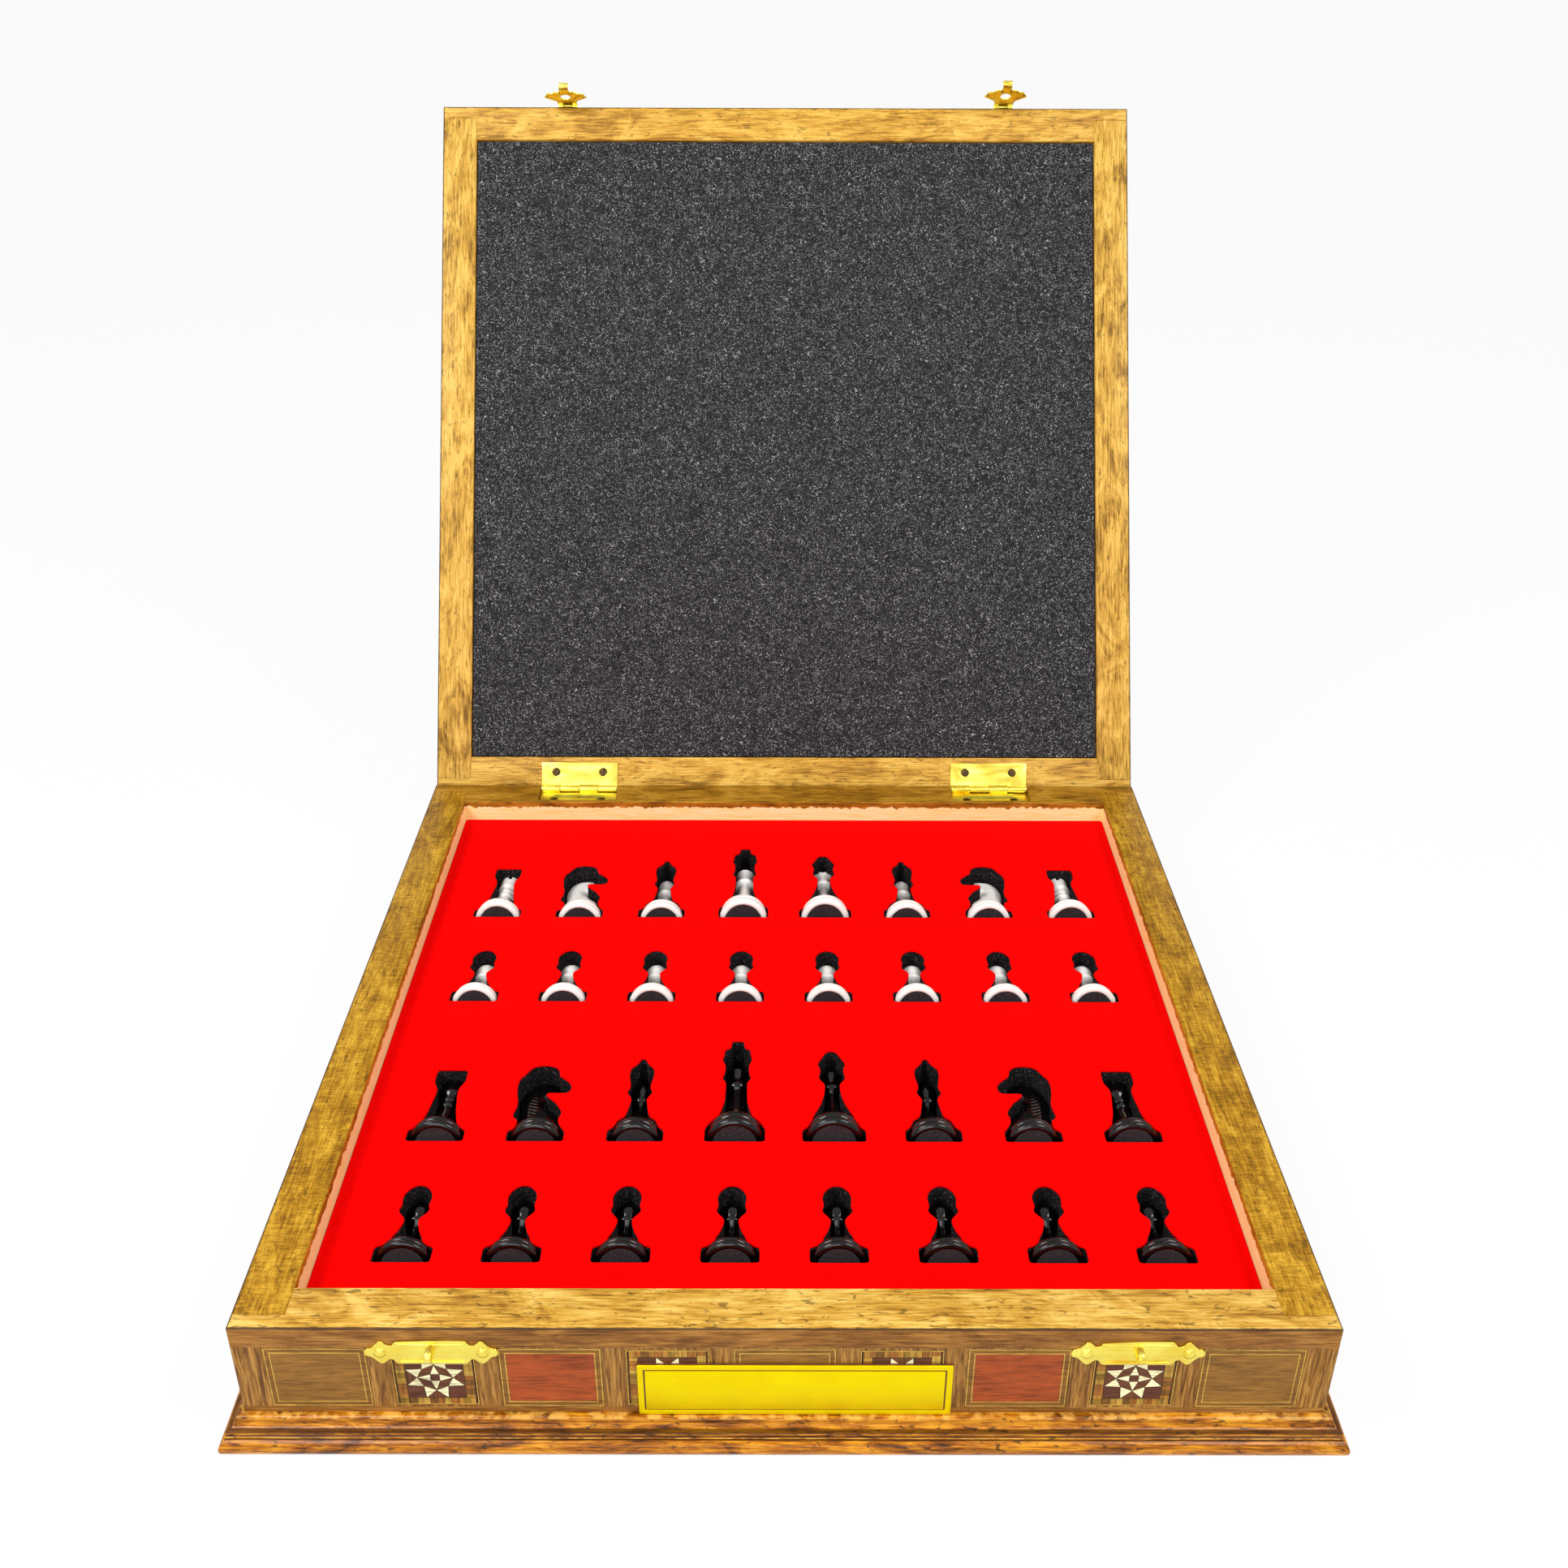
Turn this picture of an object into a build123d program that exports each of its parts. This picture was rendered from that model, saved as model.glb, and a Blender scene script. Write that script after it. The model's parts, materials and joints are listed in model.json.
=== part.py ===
from build123d import *
import os
from math import atan2, cos, degrees, pi, sin

# A wooden chess box, lid open. Millimetres. The origin is the centre of the underside, +Z is up and the
# front, with the two catches and the nameplate, faces -Y. Everything on the lid is modelled with the lid
# shut and is then turned open about the hinge line, so that case and lid share one set of sizes.

os.makedirs("parts", exist_ok=True)

# ---------------------------------------------------------------- driving dimensions
# Case and lid: one box of four rails, sawn apart, so both have the same footprint and corner joints.
box_side = 350.0
rail_thickness = 17.0
corner_lap = 6.0  # the outer part of the front and back rails, which covers the side rails' ends
case_height = 49.5
lid_height = 22.0
parting_gap = 0.3
lid_opening = 121.0
sheet_fit = 0.2  # room round a panel, veneer or foam block in its seat

# Panels let into the rails' rebates: the underside and the playing board on top of the lid.
bottom_thickness = 4.0
board_thickness = 3.4
panel_seat = 8.0  # how far a panel reaches over a rail
square_side = 36.0
squares_along = 8
square_gap = 0.02
veneer_thickness = 0.6

# Plinth moulding round the foot of the case.
plinth_height = 11.8
plinth_depth = 7.7
plinth_ledge = 1.0
plinth_round = 1.5
plinth_cove = 2.2
plinth_fillet = 0.4
plinth_step = 1.7
plinth_bead = 1.0
plinth_foot_inset = 0.7

# Marquetry let into each face of the case: framed panels and star blocks in turn.
inlay_pitch = 37.2
inlay_count = 9
inlay_centre_drop = 21.9  # from the case's top edge to the middle of the band
panel_width = 32.5
panel_height = 26.2
star_block_width = 26.6
star_block_height = 25.0

# Tray: two layers of foam under a sheet with the same cut-outs.
liner_drop = 10.0
liner_thickness = 1.0
pocket_depth = 15.5
lid_foam_recess = 1.0

# Butt hinges, set in deep mortises in the back rail and on the face of the lid's back rail.
hinge_spacing = 206.0
hinge_length = 38.0
hinge_setback = 0.9  # from the back face to the pin's centre
leaf_reach = 13.2
leaf_thickness = 0.8
knuckle_radius = 1.7
knuckle_count = 4
knuckle_side_gap = 0.12
knuckle_seat_gap = 0.15
hinge_pin_radius = 0.75
pin_running_gap = 0.05
mortise_fit = 0.4
brass_sides = 12  # flats round a knuckle, a bore, a staple or a plate's tip

# Catches: a plate with a staple on the case, and a leaf with a hinged tongue on the lid.
catch_spacing = 223.0
plate_thickness = 0.8
plate_body_width = 23.4
plate_body_height = 10.1
plate_waist_height = 5.8
plate_lobe_spacing = 32.4
plate_lobe_side = 7.0
plate_tip_spacing = 38.8
plate_tip_radius = 1.5
plate_drop = 9.9
staple_drop = 8.0
staple_height = 4.3
staple_reach = 5.2
staple_bar = 1.2
staple_width = 2.2
catch_knuckle_radius = 1.3
catch_pin_radius = 0.6
catch_pin_rise = 1.7  # from the parting line up to the tongue's pin
catch_face_gap = 0.1
catch_width = 9.6
tongue_knuckle_width = 4.4
tongue_thickness = 0.8
fan_width = 21.6
fan_start = 4.3
fan_tip = 9.9
fan_end = 15.6
fan_tip_inset = 0.2
fan_tip_height = 1.0
fan_lobe_width = 15.1
fan_lobe_rise = 1.9
tongue_neck_width = 4.7
tongue_neck_end = 20.4
tongue_hole_radius = 2.6
curl_radius = 1.8
curl_angle = 140.0
tongue_swing = {"left": 0.0, "right": 6.0}  # how far each tongue stands out from shut, as it rests

# Nameplate, bare.
nameplate_width = 100.6
nameplate_height = 22.4
nameplate_thickness = 1.2
nameplate_shift = 3.3
nameplate_lift = 0.15

# Chess pieces: lengths and base radii. They lie in the tray with their bases to the front.
turned_sides = 10  # flats round a turned piece, within 0.6 mm of the round
pawn_length, pawn_base = 34.5, 9.8
rook_length, rook_base = 39.3, 10.3
knight_length, knight_base = 42.4, 10.0
bishop_length, bishop_base = 45.4, 9.9
queen_length, queen_base = 50.2, 11.0
king_length, king_base = 55.8, 10.9
knight_thickness = 8.6
rook_wall = 1.7
rook_cup_depth = 2.6
rook_notch = 1.8
bishop_slit = 0.9
bishop_slit_height = 0.87  # its middle, as a share of the length
bishop_slit_reach = 0.6  # how far it is cut in, as a share of the base radius
king_cross_width = 4.0
king_cross_thickness = 1.7
king_cross_height = 5.0
king_post_width = 1.6
king_arm_height = 1.5
king_arm_rise = 3.0  # from the crown up to the middle of the cross's arms
pocket_fit = 0.5
floor_gap = 0.3  # a lying piece stays this clear of the pocket's floor
column_pitch = 37.0
row_fronts = {"white_back": 71.3, "white_pawns": 8.5, "black_back": -77.1, "black_pawns": -137.1}

# ---------------------------------------------------------------- places worked out from the sizes
half_box = box_side / 2
inner_half = half_box - rail_thickness
lid_low = case_height + parting_gap
lid_high = lid_low + lid_height
panel_half = inner_half + panel_seat - sheet_fit
foam_half = inner_half - sheet_fit
liner_top = case_height - liner_drop
foam_top = liner_top - liner_thickness
pocket_floor = liner_top - pocket_depth
lid_panel_low = lid_high - board_thickness - veneer_thickness

leaf_seat = knuckle_radius + knuckle_seat_gap
hinge_y = half_box - hinge_setback
hinge_z = lid_low - leaf_seat
hinge_line = Axis((0, hinge_y, hinge_z), (1, 0, 0))

catch_pin_y = -half_box - catch_knuckle_radius - catch_face_gap
catch_pin_z = lid_low + catch_pin_rise
catch_line = Axis((0, catch_pin_y, catch_pin_z), (1, 0, 0))

sides = {"left": -1, "right": 1}


def save(shape, name):
    """Label a finished piece and write it to its own file."""
    shape.label = name
    export_step(shape, f"parts/{name}.step")


def opened(shape):
    """Turn a piece of the lid from shut, as it is modelled, to open, as it rests."""
    return shape.rotate(hinge_line, -lid_opening)


# ---------------------------------------------------------------- rails of the case and the lid
def front_rail(low, high, rebate_low, rebate_high):
    """A front rail. Its outer lap runs the full width and its inner part stops at the side rails."""
    inner = -half_box + rail_thickness
    seat = inner - panel_seat
    with BuildPart() as rail:
        with BuildSketch(Plane.YZ):
            with Locations((-half_box + rail_thickness / 2, (low + high) / 2)):
                Rectangle(rail_thickness, high - low)
            with Locations((seat + panel_seat / 2, (rebate_low + rebate_high) / 2)):
                Rectangle(panel_seat, rebate_high - rebate_low, mode=Mode.SUBTRACT)
        extrude(amount=half_box, both=True)
        with BuildSketch(Plane.XY.offset(low)):
            with Locations((-half_box, -half_box + corner_lap), (half_box, -half_box + corner_lap)):
                Rectangle(2 * rail_thickness, 2 * rail_thickness, align=(Align.CENTER, Align.MIN))
        extrude(amount=high - low, mode=Mode.SUBTRACT)
    return rail


def side_rail(low, high, rebate_low, rebate_high):
    """The left rail: a plain bar between the laps of the front and back rails."""
    seat_middle = -inner_half - panel_seat / 2
    with BuildPart() as rail:
        with BuildSketch(Plane.XZ):
            with Locations((-half_box + rail_thickness / 2, (low + high) / 2)):
                Rectangle(rail_thickness, high - low)
            with Locations((seat_middle, (rebate_low + rebate_high) / 2)):
                Rectangle(panel_seat, rebate_high - rebate_low, mode=Mode.SUBTRACT)
        extrude(amount=half_box - corner_lap, both=True)
    return rail


inlay_z = case_height - inlay_centre_drop
inlay_places = [(step - (inlay_count - 1) / 2) * inlay_pitch for step in range(inlay_count)]


def inlay_outlines(room=0.0):
    """The panels and star blocks of one face, as a sketch in the face's own plane."""
    with BuildSketch() as outlines:
        for step, place in enumerate(inlay_places):
            framed = step % 2 == 0
            width = panel_width if framed else star_block_width
            height = panel_height if framed else star_block_height
            with Locations((place, inlay_z)):
                Rectangle(width + 2 * room, height + 2 * room)
    return outlines.sketch


def cut_inlay_seats(rail, face):
    """Sink the seats of the marquetry into a rail's outer face."""
    with BuildPart() as cut:
        add(rail)
        with BuildSketch(face):
            add(inlay_outlines(sheet_fit / 2))
        extrude(amount=-veneer_thickness, mode=Mode.SUBTRACT)
    return cut.part


face_planes = {
    "front": Plane(origin=(0, -half_box, 0), x_dir=(1, 0, 0), z_dir=(0, -1, 0)),
    "right": Plane(origin=(half_box, 0, 0), x_dir=(0, 1, 0), z_dir=(1, 0, 0)),
    "back": Plane(origin=(0, half_box, 0), x_dir=(-1, 0, 0), z_dir=(0, 1, 0)),
    "left": Plane(origin=(-half_box, 0, 0), x_dir=(0, -1, 0), z_dir=(-1, 0, 0)),
}

case_front_blank = front_rail(0, case_height, 0, bottom_thickness)
case_side_blank = side_rail(0, case_height, 0, bottom_thickness)
lid_front = front_rail(lid_low, lid_high, lid_panel_low, lid_high)
lid_side_blank = side_rail(lid_low, lid_high, lid_panel_low, lid_high)

save(cut_inlay_seats(case_front_blank.part, face_planes["front"]), "case_front")
save(cut_inlay_seats(case_side_blank.part, face_planes["left"]), "case_left")
save(cut_inlay_seats(case_side_blank.part.rotate(Axis.Z, 180), face_planes["right"]), "case_right")

hinge_places = [-hinge_spacing / 2, hinge_spacing / 2]
mortise_floor = hinge_z - leaf_seat
with BuildPart() as case_back:
    add(cut_inlay_seats(case_front_blank.part.rotate(Axis.Z, 180), face_planes["back"]))
    with BuildSketch(Plane.XY.offset(mortise_floor)):
        for place in hinge_places:
            with Locations((place, hinge_y - leaf_reach - mortise_fit)):
                Rectangle(
                    hinge_length + 2 * mortise_fit,
                    leaf_reach + rail_thickness,
                    align=(Align.CENTER, Align.MIN),
                )
    extrude(amount=case_height, mode=Mode.SUBTRACT)
save(case_back.part, "case_back")

save(opened(lid_front.part), "lid_front")
save(opened(lid_front.part.rotate(Axis.Z, 180)), "lid_back")
save(opened(lid_side_blank.part), "lid_left")
save(opened(lid_side_blank.part.rotate(Axis.Z, 180)), "lid_right")

with BuildPart() as case_bottom:
    with BuildSketch():
        Rectangle(2 * panel_half, 2 * panel_half)
    extrude(amount=bottom_thickness)
save(case_bottom.part, "case_bottom")

with BuildPart() as case_marquetry:
    for face in face_planes.values():
        with BuildSketch(face.offset(-veneer_thickness)):
            add(inlay_outlines())
        extrude(amount=veneer_thickness)
save(case_marquetry.part, "case_marquetry")

# ---------------------------------------------------------------- plinth moulding
def moulding_point(out, down):
    """A point of the moulding's section: how far out from the case, and how far below its top."""
    return (-half_box - out, plinth_height - down)


with BuildPart() as plinth_front:
    with BuildSketch(Plane.YZ):
        with BuildLine():
            cove_top = (plinth_ledge + plinth_round, plinth_round)
            cove_end = (cove_top[0] + plinth_cove, cove_top[1] + plinth_cove)
            step_out = cove_end[0] + plinth_fillet
            step_end = cove_end[1] + plinth_step
            torus_top = step_end + plinth_bead
            Polyline(
                moulding_point(0, plinth_height),
                moulding_point(0, 0),
                moulding_point(plinth_ledge, 0),
            )
            RadiusArc(moulding_point(plinth_ledge, 0), moulding_point(*cove_top), -plinth_round)
            RadiusArc(moulding_point(*cove_top), moulding_point(*cove_end), plinth_cove)
            Polyline(
                moulding_point(*cove_end),
                moulding_point(step_out, cove_end[1]),
                moulding_point(step_out, step_end),
            )
            ThreePointArc(
                moulding_point(step_out, step_end),
                moulding_point(step_out + plinth_bead / 2, (step_end + torus_top) / 2),
                moulding_point(step_out, torus_top),
            )
            ThreePointArc(
                moulding_point(step_out, torus_top),
                moulding_point(plinth_depth, (torus_top + plinth_height) / 2),
                moulding_point(plinth_depth - plinth_foot_inset, plinth_height),
            )
            Line(
                moulding_point(plinth_depth - plinth_foot_inset, plinth_height),
                moulding_point(0, plinth_height),
            )
        make_face()
    extrude(amount=half_box + plinth_depth, both=True)
    for side in sides.values():
        corner = Plane(origin=(side * half_box, -half_box, 0), z_dir=(-side, -1, 0))
        split(bisect_by=corner, keep=Keep.TOP)

for turn, name in enumerate(["plinth_front", "plinth_right", "plinth_back", "plinth_left"]):
    save(plinth_front.part.rotate(Axis.Z, 90 * turn), name)

# ---------------------------------------------------------------- the lid's board and foam
with BuildPart() as chessboard_panel:
    with BuildSketch(Plane.XY.offset(lid_panel_low)):
        Rectangle(2 * panel_half, 2 * panel_half)
    extrude(amount=board_thickness)
save(opened(chessboard_panel.part), "chessboard_panel")

with BuildPart() as board_squares:
    with BuildSketch(Plane.XY.offset(lid_panel_low + board_thickness)):
        with GridLocations(square_side, square_side, squares_along, squares_along):
            Rectangle(square_side - square_gap, square_side - square_gap)
    extrude(amount=veneer_thickness)
save(opened(board_squares.part), "board_squares")

with BuildPart() as lid_foam:
    with BuildSketch(Plane.XY.offset(lid_low + lid_foam_recess)):
        Rectangle(2 * foam_half, 2 * foam_half)
    extrude(amount=lid_panel_low - lid_low - lid_foam_recess)
save(opened(lid_foam.part), "lid_foam")

# ---------------------------------------------------------------- hinges
knuckle_pitch = hinge_length / knuckle_count
knuckle_steps = [step - (knuckle_count - 1) / 2 for step in range(knuckle_count)]
knuckle_clear = knuckle_radius + 2 * knuckle_seat_gap


def brass_round(radius, mode=Mode.ADD):
    """A small round in brass, its corners on the circle."""
    return RegularPolygon(radius, brass_sides, mode=mode)


def brass_bore(radius):
    """A small bore in brass, its flats touching the circle, so that a round pin turns in it."""
    return RegularPolygon(radius, brass_sides, major_radius=False)


def hinge_leaves(own_steps, leaf_low):
    """Both hinges' leaves of one kind, shut: each a flat leaf with its own knuckles."""
    knuckle_length = knuckle_pitch - 2 * knuckle_side_gap
    with BuildPart() as leaves:
        for place in hinge_places:
            with BuildSketch(Plane.XY.offset(leaf_low)):
                with Locations((place, hinge_y - knuckle_clear)):
                    Rectangle(hinge_length, leaf_reach - knuckle_clear, align=(Align.CENTER, Align.MAX))
                for step in own_steps:
                    with Locations((place + step * knuckle_pitch, hinge_y)):
                        Rectangle(knuckle_length, 2 * knuckle_clear, align=(Align.CENTER, Align.MAX))
            extrude(amount=leaf_thickness)
            for step in own_steps:
                knuckle_start = place + step * knuckle_pitch - knuckle_length / 2
                with BuildSketch(Plane.YZ.offset(knuckle_start)):
                    with Locations((hinge_y, hinge_z)):
                        brass_round(knuckle_radius)
                extrude(amount=knuckle_length)
        for place in hinge_places:
            with BuildSketch(Plane.YZ.offset(place - hinge_length / 2)):
                with Locations((hinge_y, hinge_z)):
                    brass_bore(hinge_pin_radius + pin_running_gap)
            extrude(amount=hinge_length, mode=Mode.SUBTRACT)
    return leaves


lid_leaf_low = hinge_z + leaf_seat - leaf_thickness
hinge_case_leaves = hinge_leaves(knuckle_steps[0::2], mortise_floor)
hinge_lid_leaves = hinge_leaves(knuckle_steps[1::2], lid_leaf_low)
save(hinge_case_leaves.part, "hinge_case_leaves")
save(opened(hinge_lid_leaves.part), "hinge_lid_leaves")

with BuildPart() as hinge_pins:
    for place in hinge_places:
        with BuildSketch(Plane.YZ.offset(place - hinge_length / 2)):
            with Locations((hinge_y, hinge_z)):
                Circle(hinge_pin_radius)
        extrude(amount=hinge_length)
save(hinge_pins.part, "hinge_pins")

# ---------------------------------------------------------------- catches
catch_places = {name: side * catch_spacing / 2 for name, side in sides.items()}


def plate_outline(x, z):
    """The catch plates' outline: a body, a waist, a diamond lobe at each end and round tips."""
    with BuildSketch() as outline:
        with Locations((x, z)):
            Rectangle(plate_body_width, plate_body_height)
            Rectangle(plate_lobe_spacing, plate_waist_height)
        with Locations((x, z)):
            with GridLocations(plate_lobe_spacing, 1, 2, 1):
                Rectangle(plate_lobe_side, plate_lobe_side, rotation=45)
            with GridLocations(plate_tip_spacing, 1, 2, 1):
                brass_round(plate_tip_radius)
    return outline.sketch


with BuildPart() as latch_plates:
    for place in catch_places.values():
        with BuildSketch(face_planes["front"]):
            add(plate_outline(place, case_height - plate_drop))
        extrude(amount=plate_thickness)
        # The staple is a loop on edge, one leg above the other, and the tongue's hole drops over it.
        arch = staple_height / 2
        leg = staple_reach - arch
        staple_z = case_height - staple_drop
        with BuildSketch(Plane.YZ.offset(place - staple_width / 2)):
            with Locations((-half_box - plate_thickness, staple_z)):
                Rectangle(leg, staple_height, align=(Align.MAX, Align.CENTER))
            with Locations((-half_box - plate_thickness - leg, staple_z)):
                brass_round(arch)
                brass_round(arch - staple_bar, mode=Mode.SUBTRACT)
            with Locations((-half_box - plate_thickness, staple_z)):
                Rectangle(
                    leg,
                    staple_height - 2 * staple_bar,
                    align=(Align.MAX, Align.CENTER),
                    mode=Mode.SUBTRACT,
                )
        extrude(amount=staple_width)
save(latch_plates.part, "latch_plates")

leaf_z = catch_pin_z + catch_knuckle_radius + plate_body_height / 2
outer_knuckle = (catch_width - tongue_knuckle_width) / 2 - knuckle_side_gap
outer_knuckle_place = (catch_width - outer_knuckle) / 2
with BuildPart() as hasp_leaves:
    for place in catch_places.values():
        with BuildSketch(face_planes["front"]):
            add(plate_outline(place, leaf_z))
            for side in sides.values():
                with Locations((place + side * outer_knuckle_place, catch_pin_z)):
                    Rectangle(outer_knuckle, leaf_z - catch_pin_z, align=(Align.CENTER, Align.MIN))
        extrude(amount=plate_thickness)
        for side in sides.values():
            start = place + side * outer_knuckle_place - outer_knuckle / 2
            with BuildSketch(Plane.YZ.offset(start)):
                with Locations((catch_pin_y, catch_pin_z)):
                    brass_round(catch_knuckle_radius)
            extrude(amount=outer_knuckle)
        # The pin is peened into both outer knuckles and the tongue turns on it.
        with BuildSketch(Plane.YZ.offset(place - catch_width / 2)):
            with Locations((catch_pin_y, catch_pin_z)):
                Circle(catch_pin_radius)
        extrude(amount=catch_width)
save(opened(hasp_leaves.part), "hasp_leaves")

for name, place in catch_places.items():
    tongue_plane = Plane(
        origin=(place, catch_pin_y + tongue_thickness / 2, catch_pin_z), x_dir=(1, 0, 0), z_dir=(0, -1, 0)
    )
    with BuildPart() as tongue:
        with BuildSketch(tongue_plane):
            with BuildLine():
                Polyline(
                    (0, -fan_start / 2),
                    (catch_width / 2, -fan_start / 2),
                    (catch_width / 2, -fan_start),
                    (fan_width / 2 - fan_tip_inset, -fan_tip + fan_tip_height),
                    (fan_width / 2, -fan_tip),
                    (fan_lobe_width / 2, -fan_end + fan_lobe_rise),
                    (tongue_neck_width / 2, -fan_end),
                    (tongue_neck_width / 2, -tongue_neck_end),
                    (0, -tongue_neck_end),
                )
                mirror(about=Plane.YZ)
            make_face()
            Rectangle(tongue_knuckle_width, fan_start, align=(Align.CENTER, Align.MAX))
            hole_drop = catch_pin_z - (case_height - staple_drop)
            with Locations((0, -hole_drop)):
                RegularPolygon(tongue_hole_radius, brass_sides, major_radius=False, mode=Mode.SUBTRACT)
        extrude(amount=tongue_thickness)
        with BuildSketch(Plane.YZ.offset(place - tongue_knuckle_width / 2)):
            with Locations((catch_pin_y, catch_pin_z)):
                brass_round(catch_knuckle_radius)
        extrude(amount=tongue_knuckle_width)
        with BuildSketch(Plane.YZ.offset(place - tongue_neck_width / 2)):
            with BuildLine():
                curl_centre = (catch_pin_y - curl_radius, catch_pin_z - tongue_neck_end)
                outer = curl_radius + tongue_thickness / 2
                inner = curl_radius - tongue_thickness / 2
                outer_arc = CenterArc(curl_centre, outer, 0, -curl_angle)
                inner_arc = CenterArc(curl_centre, inner, 0, -curl_angle)
                Line(outer_arc @ 0, inner_arc @ 0)
                Line(outer_arc @ 1, inner_arc @ 1)
            make_face()
        extrude(amount=tongue_neck_width)
        with BuildSketch(Plane.YZ.offset(place - catch_width / 2)):
            with Locations((catch_pin_y, catch_pin_z)):
                brass_bore(catch_pin_radius + pin_running_gap)
        extrude(amount=catch_width, mode=Mode.SUBTRACT)
    swung = tongue.part.rotate(catch_line, -tongue_swing[name])
    save(opened(swung), f"hasp_{name}")

with BuildPart() as nameplate:
    plate_low = plinth_height + nameplate_lift
    with BuildSketch(face_planes["front"]):
        with Locations((nameplate_shift, plate_low + nameplate_height / 2)):
            Rectangle(nameplate_width, nameplate_height)
    extrude(amount=nameplate_thickness)
save(nameplate.part, "nameplate")

# ---------------------------------------------------------------- chess pieces, upright
# Each turned piece's outline, from the base to the top, as shares of its length and of its base radius.
outlines = {
    "pawn": [(0, 1), (0.093, 1), (0.2, 0.64), (0.59, 0.215), (0.7, 0.49), (0.885, 0.49), (1, 0.22)],
    "rook": [(0, 1), (0.087, 1), (0.2, 0.62), (0.65, 0.28), (0.75, 0.47), (1, 0.5)],
    "bishop": [
        (0, 1), (0.073, 1), (0.185, 0.62), (0.545, 0.22), (0.63, 0.43), (0.665, 0.29), (0.84, 0.42), (1, 0.09),
    ],
    "queen": [
        (0, 1), (0.07, 1), (0.185, 0.64), (0.65, 0.19), (0.71, 0.43), (0.8, 0.28), (0.895, 0.43),
        (0.91, 0.25), (1, 0.12),
    ],
    "king": [
        (0, 1), (0.064, 1), (0.18, 0.63), (0.36, 0.35), (0.61, 0.28), (0.65, 0.46), (0.73, 0.31), (0.82, 0.4),
        (0.91, 0.38),
    ],
}
lengths = {
    "pawn": pawn_length,
    "rook": rook_length,
    "knight": knight_length,
    "bishop": bishop_length,
    "queen": queen_length,
    "king": king_length,
}
base_radii = {
    "pawn": pawn_base,
    "rook": rook_base,
    "knight": knight_base,
    "bishop": bishop_base,
    "queen": queen_base,
    "king": king_base,
}
# The knight's head in profile, nose to the right: shares of the base radius and of the length.
knight_foot = [(0, 1), (0.078, 1), (0.16, 0.78), (0.2, 0.74)]
knight_head = [
    (-0.72, 0.17), (-0.8, 0.4), (-0.92, 0.69), (-0.76, 0.87), (-0.4, 1), (0.16, 1), (0.36, 0.95),
    (0.46, 0.85), (0.86, 0.73), (0.8, 0.65), (0.48, 0.655), (0.12, 0.69), (0.06, 0.6), (0.34, 0.47),
    (0.7, 0.38), (0.6, 0.17),
]


def stations(kind):
    """A turned outline in millimetres: (height, radius) from the base up."""
    shares = knight_foot if kind == "knight" else outlines[kind]
    return [(height * lengths[kind], radius * base_radii[kind]) for height, radius in shares]


def turned_section(wide, narrow, height):
    """One section of a turned piece, standing on its wide end."""
    slope = atan2((wide - narrow) * cos(pi / turned_sides), height)
    with BuildPart() as section:
        with BuildSketch():
            RegularPolygon(wide, turned_sides, rotation=90)
        extrude(amount=height, taper=degrees(slope))
    return section.part


def turned(kind):
    """Stack a piece's sections from the base up."""
    points = stations(kind)
    sections = []
    for (low, low_radius), (high, high_radius) in zip(points, points[1:]):
        if high_radius > low_radius:
            flipped = Location((0, 0, high), (180, 0, 0))
            sections.append(turned_section(high_radius, low_radius, high - low).moved(flipped))
        else:
            upright_place = Location((0, 0, low))
            sections.append(turned_section(low_radius, high_radius, high - low).moved(upright_place))
    with BuildPart() as body:
        add(sections)
    return body


pawn = turned("pawn")

with BuildPart() as rook:
    add(turned("rook").part)
    rim = stations("rook")[-1][1]
    with BuildSketch(Plane.XY.offset(rook_length)):
        RegularPolygon(rim - rook_wall, turned_sides, rotation=90)
    extrude(amount=-rook_cup_depth, mode=Mode.SUBTRACT)
    across = 3 * rim
    with BuildSketch(Plane.XY.offset(rook_length)):
        Rectangle(across, rook_notch)
        Rectangle(rook_notch, across)
    extrude(amount=-rook_cup_depth, mode=Mode.SUBTRACT)

with BuildPart() as bishop:
    add(turned("bishop").part)
    slit_z = bishop_slit_height * bishop_length
    slit_reach = bishop_slit_reach * bishop_base
    with BuildSketch(Plane(origin=(slit_reach / 2, 0, slit_z), x_dir=(1, 0, 1), z_dir=(0, 1, 0))):
        Rectangle(slit_reach, bishop_slit)
    extrude(amount=bishop_base, both=True, mode=Mode.SUBTRACT)

queen = turned("queen")

with BuildPart() as king:
    add(turned("king").part)
    crown_top = stations("king")[-1][0]
    with BuildSketch(Plane.XZ):
        with Locations((0, crown_top)):
            Rectangle(king_post_width, king_cross_height, align=(Align.CENTER, Align.MIN))
        with Locations((0, crown_top + king_arm_rise)):
            Rectangle(king_cross_width, king_arm_height)
    extrude(amount=king_cross_thickness / 2, both=True)


def knight_profile(room=0.0):
    """The knight's head in profile, as a sketch, with room all round."""
    points = [(x * knight_base, z * knight_length) for x, z in knight_head]
    with BuildSketch() as profile:
        with BuildLine():
            Polyline(*points, close=True)
        make_face()
        if room:
            offset(amount=room, kind=Kind.INTERSECTION)
    return profile.sketch


with BuildPart() as knight:
    add(turned("knight").part)
    with BuildSketch(Plane.XZ):
        add(knight_profile())
    extrude(amount=knight_thickness / 2, both=True)

upright = {"pawn": pawn, "rook": rook, "knight": knight, "bishop": bishop, "queen": queen, "king": king}


# ---------------------------------------------------------------- how each piece lies, and its pocket
def lean(kind):
    """The angle at which a lying piece touches the floor with its base rim and with its head, in radians."""
    rim_height, rim_radius = stations(kind)[1]
    if kind == "knight":
        return atan2(rim_radius - knight_thickness / 2, knight_length - rim_height)
    return min(atan2(rim_radius - r, height - rim_height) for height, r in stations(kind)[2:])


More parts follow.
